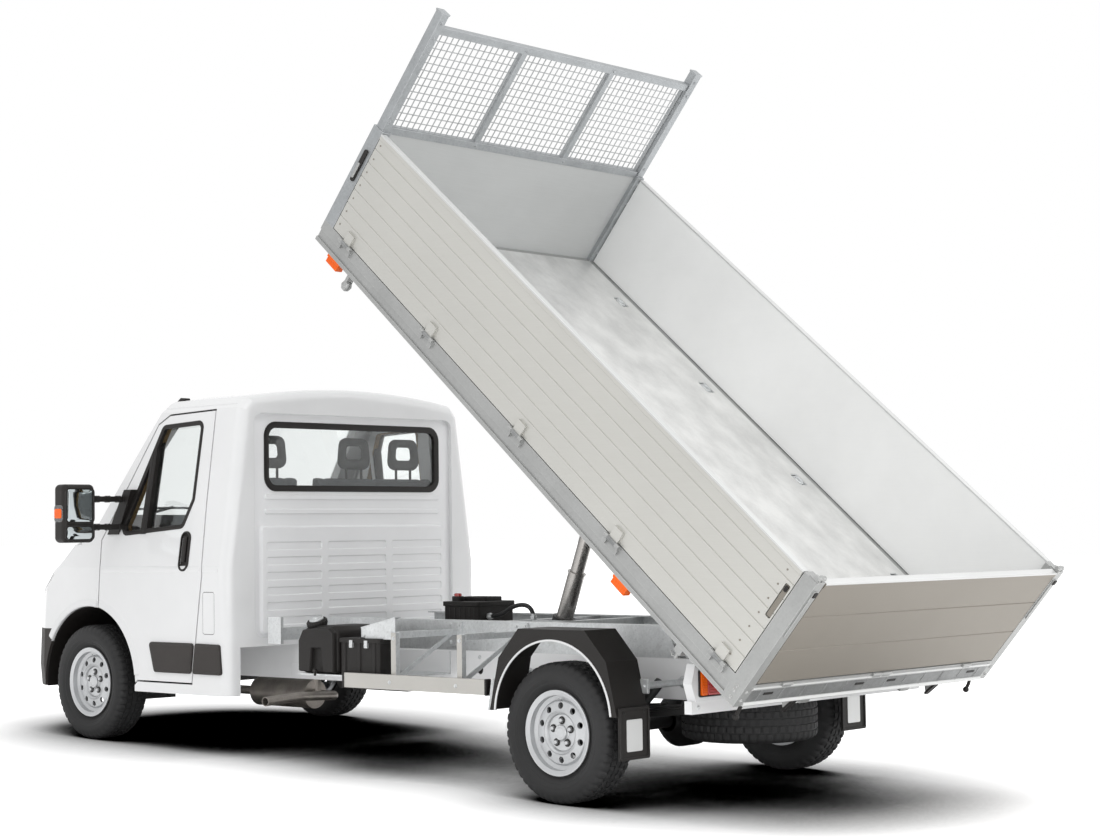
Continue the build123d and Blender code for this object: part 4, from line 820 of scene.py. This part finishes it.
def make_hose():
    """The ram's stiff hose on one smooth line, from the power unit to the ram's cradle."""
    points = [STANCE @ Vector(p) for p in HOSE_ROUTE]
    line = bpy.data.curves.new("ram_hose", "CURVE")
    line.dimensions = "3D"
    line.bevel_depth = HOSE_DIAMETER / 2
    line.bevel_resolution = 5
    line.resolution_u = 16
    spline = line.splines.new("NURBS")
    spline.points.add(len(points) - 1)
    for point, place in zip(spline.points, points):
        point.co = (*place, 1)
    spline.order_u = 3
    spline.use_endpoint_u = True
    hose = bpy.data.objects.new("ram_hose", line)
    line.materials.append(MATERIALS["hose"])
    bpy.context.scene.collection.objects.link(hose)
    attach(hose, "chassis")
    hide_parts("hydraulic_hose")


def make_frame_pieces():
    """Oil tank, battery, power unit, side guards and mudguards."""
    tank = Kit()
    body = rounded([(1852, 457), (1852, 640), (1890, 704), (1990, 715), (2118, 715), (2158, 684),
                    (2158, 457)], 30)
    tank.skin([[(x, y, z) for y, z in grown(body, -inset)]
               for x, inset in [(628, 16), (634, 7), (650, 0), (902, 0), (918, 7), (926, 18)]])
    pads = rounded([(1862, 466), (1862, 634), (1898, 694), (1990, 705), (2112, 705), (2148, 678),
                    (2148, 466), (2062, 466), (2050, 592), (1970, 592), (1958, 466)], 9)
    tank.skin([[(x, y, z) for y, z in grown(pads, -inset)]
               for x, inset in [(900, 0), (930, 0), (943, 2.5), (949, 7)]])
    add("oil_tank_body", tank, "plastic", replaces=["oil_tank"], soften=0, smooth=50)
    sill = Kit().prism("y", [(464, 378), (477, 378), (477, 464), (473, 470), (464, 470)], 1250, 1850)
    add("frame_sills", sill.both(), "chassis_white", soften=1)
    neck, cap = Kit(), Kit()
    neck.lathe([(-20, 46), (12, 44), (12, 54), (20, 56), (40, 56), (48, 50), (48, 20)], TANK_NECK,
               TANK_TILT, 28)
    lean = Vector(UP).rotation_difference(Vector(TANK_TILT)).to_matrix().to_4x4()
    for step in range(CAP_RIBS):
        neck.at = Matrix.Translation(TANK_NECK) @ lean @ Matrix.Rotation(2 * pi * step / CAP_RIBS, 4, "Z")
        neck.box(54, 58, -3, 3, 20, 40)
    neck.at = Matrix.Identity(4)
    neck.rod((945, 2008, 474), (962, 2008, 474), 11)
    neck.rod((954, 2008, 474), (954, 2008, 447), 7)
    add("tank_neck_and_tap", neck, "plastic", soften=1)
    cap.lathe([(44, 40), (54, 40), (58, 34), (58, 16), (64, 14), (66, 8)], TANK_NECK, TANK_TILT, 28)
    add("tank_breather", cap, "zinc", soften=0.6)

    box = Kit().prism("z", rounded(rectangle(800, 928, 2184, 2490), 14), 455, 634)
    box.prism("z", rounded(rectangle(794, 936, 2176, 2498), 16), 630, 654)
    for y in (2222, 2338, 2454):
        box.box(924, 934, y - 9, y + 9, 458, 634)
    box.prism("y", [(820, 652), (910, 652), (900, 666), (830, 666)], 2320, 2356)
    add("battery_case", box, "plastic", replaces=["battery_box"], soften=4)
    clasp = Kit()
    for y in (2280, 2396):
        clasp.box(926, 941, y - 12, y + 12, 604, 644)
        clasp.rod((939, y - 12, 616), (939, y + 12, 616), 4)
    add("battery_clasps", clasp, "zinc", soften=1)

    motor = Kit().prism("z", rounded(rectangle(-158, 158, 2172, 2458), 26), 796, 822)
    motor.prism("z", rounded(rectangle(-110, 40, 2200, 2400), 20), 820, 846)
    motor.rod((90, 2240, 815), (90, 2240, 850), 34, 24)
    for step in range(7):
        motor.box(-154, 154, 2196 + step * 38, 2204 + step * 38, 675, 790)
    add("power_unit_lid", motor, "plastic", soften=5)
    knob = Kit().lathe([(0, 22), (14, 22), (18, 16)], (90, 2240, 849), UP, 18)
    add("power_unit_cap", knob, "red", soften=1)
    nuts = Kit()
    for end in ((60, 2449, 740), (60, 2792, 729)):
        way = REARWARD if end[1] < 2600 else UP
        nuts.lathe([(0, 20), (16, 20), (18, 15), (30, 15)], end, way, 6)
    add("hose_nuts", nuts, "zinc", soften=0.8)

    # The tank's end bracket, on its side alone
    wedge = Kit().prism("x", [(2322, 646), (2588, 652), (2588, 764), (2322, 706)], 899, 905)
    wedge.prism("x", [(2322, 706), (2588, 764), (2588, 770), (2322, 712)], 862, 905)
    wedge.box(868, 905, 2322, 2328, 646, 706)
    wedge.bolt((905, 2350, 668), OUT, 7)
    wedge.bolt((905, 2560, 690), OUT, 7)
    add("tank_end_bracket", wedge, "zinc", soften=1.5)
    arms = Kit()
    for y in GUARD_POSTS:
        arms.box(470, 482, y - 48, y + 48, 600, 730)
        for dy in (-32, 32):
            for z in (620, 712):
                arms.bolt((482, y + dy, z), OUT, 10)
        arms.bolt((935, y, 660), OUT, 9)
        arms.bolt((965, y, 434), OUT, 9)
        arms.prism("x", [(y - 18, 676), (y + 18, 676), (y + 18, 694), (y - 18, 694)], 700, 909)
    add("guard_brackets", arms.both(), "zinc", soften=1.5)
    cap = Kit()
    for y0, y1 in ((3298, 3312), (2240, 2254)):
        cap.prism("y", rounded(rectangle(932, 968, 393, 476), 4), y0, y1)
    add("guard_end_caps", cap.both(), "plastic", soften=1.5)

    piping = Kit().tube([(1021, y, z) for y, z in arc(377, REAR_Y, 305, 4.6, 175.4, 48)], 5.5, 8)
    add("mudguard_piping", piping.both(), "white", soften=0)
    flap = Kit().frame("y", rounded(rectangle(795, 1010, 130, 375), 12),
                       rounded(rectangle(806, 999, 141, 364), 8), REAR_Y + 418, REAR_Y + 426)
    for x in (830, 975):
        flap.bolt((x, REAR_Y + 420, 352), REARWARD, 7)
    add("flap_borders", flap.both(), "plastic", soften=1.5)
    badge = Kit().prism("y", rounded(rectangle(846, 959, 168, 318), 8), REAR_Y + 419, REAR_Y + 423)
    add("flap_plates", badge.both(), "pale_alu", soften=0.8)
    stay = Kit()
    for side in (-1, 1):
        y = REAR_Y + side * 377
        stay.prism("y", rounded(rectangle(782, 800, 430, 500), 8), y - 40, y + 40)
        stay.bolt((800, y - 20, 465), OUT, 8)
        stay.bolt((800, y + 20, 465), OUT, 8)
        stay.lathe([(0, 30), (10, 30), (14, 20), (40, 19)], (470, y, 465), OUT, 20)
    stay.tube([(600, REAR_Y - 430, 500), (840, REAR_Y - 430, 500), (980, REAR_Y - 424, 470),
               (1008, REAR_Y - 418, 330)], 13, 12)
    add("mudguard_stays", stay.both(), "zinc", soften=1)


def make_rear():
    """Tail lamps, springs, dampers and bolts."""
    # Columns: finish, x from, x to, how far it stands out
    for look, x0, x1, out in [("amber", 856, 898, 66), ("red", 745, 854, 68), ("red_dark", 670, 743, 66)]:
        lens = Kit().prism("y", rounded(rectangle(x0, x1, 444, 556), 8), 4568, 4560 + out)
        for step in range(9):
            lens.box(x0 + 8, x1 - 8, 4558 + out, 4561.5 + out, 452 + step * 11.5, 457 + step * 11.5)
        piece = add(f"tail_lens_{look}", lens.both(), look, soften=3)
        if look == "red":
            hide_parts("tail_lamps")
    case = Kit().frame("y", rounded(rectangle(662, 906, 436, 564), 12),
                       rounded(rectangle(669, 899, 443, 557), 8), 4566, 4618)
    add("tail_lamp_cases", case.both(), "plastic", soften=2)

    steel = Kit()
    eye_z = 375.0
    for side in (-1, 1):
        y = REAR_Y + side * 700
        link = rounded([(y - 26, eye_z - 26), (y + 26, eye_z - 26), (y + 20, eye_z + 76),
                        (y - 20, eye_z + 76)], 18)
        for x in (574, 480):
            steel.prism("x", link, x, x + 9)
        steel.bolt((583, y, eye_z), OUT, 14)
        steel.bolt((583, y, eye_z + 56), OUT, 12)
        steel.rod((478, y, eye_z), (584, y, eye_z), 11)
    for y in (REAR_Y - 42, REAR_Y + 42):
        for x in (496, 568):
            steel.rod((x, y, 190), (x, y, 340), 7)
        steel.tube([(496, y, 335), (505, y, 346), (559, y, 346), (568, y, 335)], 7, 8)
    steel.box(488, 576, REAR_Y - 62, REAR_Y + 62, 180, 196)
    add("spring_shackles", steel.both(), "zinc", soften=1.5)
    leaves = Kit()
    for index, reach in enumerate((560.0, 430.0, 300.0)):
        rings = []
        for step in range(17):
            y = REAR_Y - reach + 2 * reach * step / 16
            z = 313 + 75 * ((y - REAR_Y) / 700) ** 2 + 1 + index * 13
            rings.append([(504, y, z), (560, y, z), (560, y, z + 11), (504, y, z + 11)])
        leaves.skin(rings)
    leaves.lathe([(-150, 60), (-110, 105), (-60, 140), (60, 140), (110, 105), (150, 60)],
                 (0, REAR_Y, REAR_Z), OUT, 32)
    leaves.lathe([(0, 112), (50, 118), (70, 140), (96, 140)], (700, REAR_Y, REAR_Z), OUT, 32)
    add("spring_leaves_and_drums", leaves.both(), "black_steel", soften=2)

    damper = Kit().rod((600, REAR_Y + 110, 250), (560, REAR_Y + 300, 470), 26, 20)
    damper.rod((640, REAR_Y + 20, 170), (600, REAR_Y + 110, 250), 15, 16)
    add("rear_dampers", damper.both(), "black_steel", soften=2)
    bolts = Kit()
    for y in (4340, 4420, 4480):
        bolts.bolt((490, y, 500), OUT, 11)
    for y in range(1740, 3300, 260):
        bolts.bolt((470, y, 545), OUT, 9)
    for x in (520, 900):
        bolts.bolt((x, 4604, 390), REARWARD, 9)
    bolts.lathe([(0, 46), (10, 46), (14, 34), (26, 34)], (490, HINGE_Y, HINGE_Z), OUT, 24)
    add("frame_bolts", bolts.both(), "zinc", soften=0.8)


# Bed
LASHING_PLACES = (4370, 3540, 2710, 1880)
MESH_PITCH, MESH_ROWS, WIRE_HALF = 43.0, 13, 2.1


def make_bed_pieces():
    """Headboard, mesh, lashing rings, locks, latches and caps."""
    board = Kit()
    for side in (-1, 1):
        low, high = sorted((side * 1000, side * 1060))
        board.box(low, high, 1365, 1447, 940, 1545)
        board.box(low + 6, high - 6, 1378, 1434, 1540, 2252)
    for level in (1550, 2155):
        board.box(-1002, 1002, 1385, 1425, level - 20, level + 20)
    for x in (-355, 355):
        board.box(x - 18, x + 18, 1387, 1423, 1568, 2137)
        for z in (1550, 2155):
            board.bolt((x, 1425, z), REARWARD, 8)
    for x in (1030, -1030):
        for y, levels in [(1447, (1000, 1180, 1360, 1500)), (1434, (1600, 2110, 2200))]:
            for z in levels:
                board.bolt((x, y, z), REARWARD, 8)
        board.box(x - 27, x + 27, 1375, 1437, 2246, 2256)
    add("headboard_posts", board, "post_zinc", "bed", replaces=["headboard_frame"], soften=3)
    net = Kit()
    for x0, x1 in [(-1000.0, -373.0), (-337.0, 337.0), (373.0, 1000.0)]:
        count = round((x1 - x0) / MESH_PITCH)
        for step in range(count + 1):
            x = x0 + (x1 - x0) * step / count
            net.box(x - WIRE_HALF, x + WIRE_HALF, 1401, 1406, 1566, 2139)
        for step in range(MESH_ROWS + 1):
            z = 1570 + 565 * step / MESH_ROWS
            net.box(x0 - 2, x1 + 2, 1404, 1409, z - WIRE_HALF, z + WIRE_HALF)
    add("headboard_mesh", net, "mesh_wire", "bed", soften=0)

    fittings, dark, lashing = Kit(), Kit(), Kit()
    for y in LASHING_PLACES:
        # A thin dark plate under each ring's plate, showing as a dark line round it: painted shade of the
        # ring's recess.
        dark.box(874, 936, y - 48, y + 48, 930.3, 931.2)
        lashing.box(881, 929, y - 40, y + 40, 930.8, 933)
        ring = [(905 + 20 * cos(2 * pi * i / 20), y + 30 * sin(2 * pi * i / 20), 936) for i in range(21)]
        lashing.tube(ring, 4.5, 8)
        lashing.box(896, 914, y + 20, y + 38, 931, 940)
        lashing.frame("z", rounded(rectangle(869, 941, y - 53, y + 53), 16),
                      rounded(rectangle(877, 933, y - 45, y + 45), 12), 932, 937)
    add("lashing_rings", lashing.both(), "zinc", "bed", soften=0.8)
    # Rear posts: top clasp, lock strip, bolts and lever
    fittings.box(1003, 1057, 4958, 5014, 1533, 1541)
    fittings.rod((1000, 4997, 1551), (1058, 4997, 1551), 12, 18)
    fittings.box(1012, 1026, 4984, 5010, 1538, 1560)
    fittings.box(1038, 1052, 4984, 5010, 1538, 1560)
    fittings.prism("y", rounded(rectangle(1016, 1044, 1230, 1490), 8), 5010, 5018)
    dark.box(1019, 1041, 5014, 5024, 1462, 1488)
    for z in (842, 880, 905):
        fittings.bolt((1060, 4972, z), OUT, 8)
    fittings.bolt((1030, 5012, 850), REARWARD, 8)
    fittings.bolt((1030, 5012, 900), REARWARD, 8)
    dark.tube([(960, 4985, 830), (962, 4992, 800), (968, 5000, 770), (968, 5004, 742)], 9, 10)
    dark.lathe([(-14, 6), (-9, 13), (0, 16), (9, 13), (14, 6)], (968, 5006, 740), OUT, 16)
    # Rear beam: hinge plates, and its slots as dark plates of painted shade
    for x in (40, 760):
        fittings.box(x - 34, x + 34, 5006, 5020, 918, 944)
        fittings.rod((x - 38, 5018, 936), (x + 38, 5018, 936), 7)
        # A dark plate standing for a slot: painted shade.
        dark.box(x + 60, x + 130, 5009, 5015, 874, 888)
    beam = Kit().prism("x", [(5010, 818), (5020, 818), (5022, 824), (5016, 836), (5010, 838)], -1000, 1000)
    beam.prism("x", [(5010, 908), (5016, 910), (5020, 920), (5018, 926), (5010, 926)], -1000, 1000)
    add("rear_beam_lips", beam, "pale_alu", "bed", soften=1)
    beam = Kit().prism("y", rectangle(-996, 996, 837, 909), 5008, 5013)
    for step in range(12):
        x = -920 + step * 167
        beam.box(x - 3, x + 3, 5012, 5015, 838, 908)
    add("rear_beam_web", beam, "dull_zinc", "bed", soften=0.6)
    # Tailgate stops' rubber, along their rear edge
    dark.prism("x", [(5009, 815), (5020, 815), (5004, 737), (4994, 745)], 582, 618)
    # Front corner lock under the rail, and a locking pin at the rear
    fittings.box(1010, 1058, 1700, 1716, 770, 816)
    fittings.lathe([(-30, 10), (-22, 22), (0, 30), (22, 22), (30, 10)], (1034, 1708, 752), UP, 20)
    fittings.box(1012, 1056, 4598, 4642, 782, 817)
    fittings.rod((1040, 4620, 784), (1040, 4620, 752), 9)
    fittings.tube([(1040, 4620, 758), (1040, 4600, 748), (1040, 4580, 760)], 4, 8)
    # Front latch on the headboard's post
    dark.prism("x", rounded(rectangle(1398, 1424, 1220, 1410), 8), 1058, 1070)
    fittings.prism("x", rounded(rectangle(1404, 1418, 1240, 1330), 5), 1068, 1076)
    add("bed_fittings", fittings.both(), "rail", "bed", soften=1.2)
    add("bed_rubber_levers_and_painted_shade", dark.both(), "plastic", "bed", soften=1.2)
    bezel = Kit()
    for y in (1557, 4166):
        bezel.frame("z", rectangle(1005, 1059, y - 55, y + 55), rectangle(1012, 1052, y - 48, y + 48),
                    800, 817)
        for step in range(6):
            bezel.box(1054, 1056.5, y - 44 + step * 16, y - 40 + step * 16, 774, 806)
    add("marker_bases", bezel.both(), "amber", "bed", soften=0.8)

    for side, flip in (("left", False), ("right", True)):
        latch, strap = Kit(), Kit()
        latch.prism("x", rounded(rectangle(4888, 4914, 1253, 1430), 6), 1046, 1056)
        for z in range(990, 1500, 82):
            latch.lathe([(-1, 5), (2, 5), (3, 3)], (1060, 4855, z), OUT, 10)
            latch.lathe([(-1, 5), (2, 5), (3, 3)], (1060, 1480, z), OUT, 10)
        # The latch takes the darker aluminium copy: painted shade.
        add(f"side_latch_{side}", latch, "alu_gate_painted_shade", f"dropside_{side}", flip=flip, soften=1)
        strap.prism("x", rounded(rectangle(4892, 4910, 1396, 1426), 5), 1055, 1062)
        add(f"side_latch_grip_{side}", strap, "plastic", f"dropside_{side}", flip=flip, soften=1)
        edge = Kit().prism("y", rounded(rectangle(1027, 1066, 1526, 1536), 3), 1450, 4927)
        add(f"side_cap_{side}", edge, "pale_alu", f"dropside_{side}", flip=flip, soften=1)
    edge = Kit().prism("x", rounded(rectangle(4979, 5018, 1526, 1536), 3), -992, 992)
    add("tailgate_cap", edge, "pale_alu", "tailgate", soften=1)


# Stage, light and camera
FLOOR_TONE, FLOOR_SIZE = (0.93, 0.93, 0.93, 1), 80
SHADE_REACH, SHADE_FROM, SHADE_TO, SHADE_GAIN = 1.5, 0.34, 0.95, 1.7
WORLD_LIGHT, LAMPS_AIM = 0.85, (0, 0.6, 1.0)


def seen_directly(tree):
    """A value of 1 for what the camera sees, straight or in metal or glass."""
    path = node(tree, "ShaderNodeLightPath")
    value = path.outputs["Is Camera Ray"]
    for other in ("Is Glossy Ray", "Is Transmission Ray"):
        either = node(tree, "ShaderNodeMath", operation="MAXIMUM")
        tree.links.new(value, either.inputs[0])
        tree.links.new(path.outputs[other], either.inputs[1])
        value = either.outputs["Value"]
    return value


def make_stage():
    """A pale floor with a painted shadow that darkens it near the object, the world and the lamps."""
    bpy.ops.mesh.primitive_plane_add(size=FLOOR_SIZE, location=(0, 0, 0))
    floor = bpy.context.object
    floor.name = "floor"
    pale = bpy.data.materials.new("pale_floor")
    pale.use_nodes = True
    tree = pale.node_tree
    tree.nodes.clear()
    surface = node(tree, "ShaderNodeOutputMaterial")
    matt = node(tree, "ShaderNodeBsdfDiffuse")
    tree.links.new(matt.outputs["BSDF"], surface.inputs["Surface"])
    # Ambient occlusion darkens the floor's colour near and under the object into a painted shadow; farther
    # off it is lifted to white.
    near = node(tree, "ShaderNodeAmbientOcclusion", samples=24, Distance=SHADE_REACH)
    depth = node(tree, "ShaderNodeMapRange", From_Min=SHADE_FROM, From_Max=SHADE_TO, To_Min=0.0,
                 To_Max=SHADE_GAIN)
    tree.links.new(near.outputs["AO"], depth.inputs["Value"])
    tone = node(tree, "ShaderNodeMixRGB", Color1=FLOOR_TONE)
    tree.links.new(seen_directly(tree), tone.inputs["Fac"])
    tree.links.new(depth.outputs["Result"], tone.inputs["Color2"])
    tree.links.new(tone.outputs["Color"], matt.inputs["Color"])
    floor.data.materials.append(pale)

    world = bpy.data.worlds.new("studio")
    bpy.context.scene.world = world
    world.use_nodes = True
    tree = world.node_tree
    glow = tree.nodes["Background"]
    level = node(tree, "ShaderNodeMapRange", To_Min=WORLD_LIGHT, To_Max=1.0)
    tree.links.new(seen_directly(tree), level.inputs["Value"])
    tree.links.new(level.outputs["Result"], glow.inputs["Strength"])
    glow.inputs["Color"].default_value = (1, 1, 1, 1)

    # Columns: name, place, width, height, watts
    lamps = [
        ("key", (6.5, 1.0, 8.0), 7.0, 5.0, 70.0),
        ("top", (1.5, 4.0, 9.5), 5.0, 5.0, 120.0),
        ("side", (7.5, 8.5, 2.2), 7.0, 3.0, 110.0),
        ("rear", (0.0, 10.5, 3.4), 7.0, 4.0, 200.0),
        ("fill", (-7.0, 4.0, 7.0), 6.0, 6.0, 70.0),
    ]
    for name, place, width, height, watts in lamps:
        light = bpy.data.lights.new(name, "AREA")
        light.shape = "RECTANGLE"
        light.size = width
        light.size_y = height
        light.energy = watts
        lamp = bpy.data.objects.new(name, light)
        lamp.location = place
        lamp.rotation_euler = (Vector(LAMPS_AIM) - Vector(place)).to_track_quat("-Z", "Y").to_euler()
        bpy.context.scene.collection.objects.link(lamp)


CAMERA_PLACE = (8.5011, 8.4449, 1.4899)
CAMERA_YAW, CAMERA_PITCH, CAMERA_ROLL = radians(227.393), radians(2.011), radians(0.362)
CAMERA_LENS, CAMERA_SENSOR = 68.95, 36.0


def make_camera():
    """The photograph's view."""
    lens = bpy.data.cameras.new("photo_view")
    lens.lens = CAMERA_LENS
    lens.sensor_width = CAMERA_SENSOR
    lens.sensor_fit = "HORIZONTAL"
    lens.clip_end = 200
    camera = bpy.data.objects.new("photo_view", lens)
    level = cos(CAMERA_PITCH)
    ahead = Vector((sin(CAMERA_YAW) * level, cos(CAMERA_YAW) * level, sin(CAMERA_PITCH)))
    right = ahead.cross(Vector(UP)).normalized()
    up = right.cross(ahead)
    rolled = right * cos(CAMERA_ROLL) + up * sin(CAMERA_ROLL)
    top = up * cos(CAMERA_ROLL) - right * sin(CAMERA_ROLL)
    turn = Matrix((rolled, top, -ahead)).transposed().to_4x4()
    camera.matrix_world = Matrix.Translation(CAMERA_PLACE) @ turn
    bpy.context.scene.collection.objects.link(camera)
    bpy.context.scene.camera = camera
    bpy.context.scene.view_settings.view_transform = "Standard"


make_camera()
make_stage()
make_hose()
make_frame_pieces()
for side, flip in (("left", False), ("right", True)):
    make_door_trim(side, flip)
make_cab_trim()
make_front_trim()
make_engine_cover()
make_seats()
make_wheels()
make_rear()
make_bed_pieces()
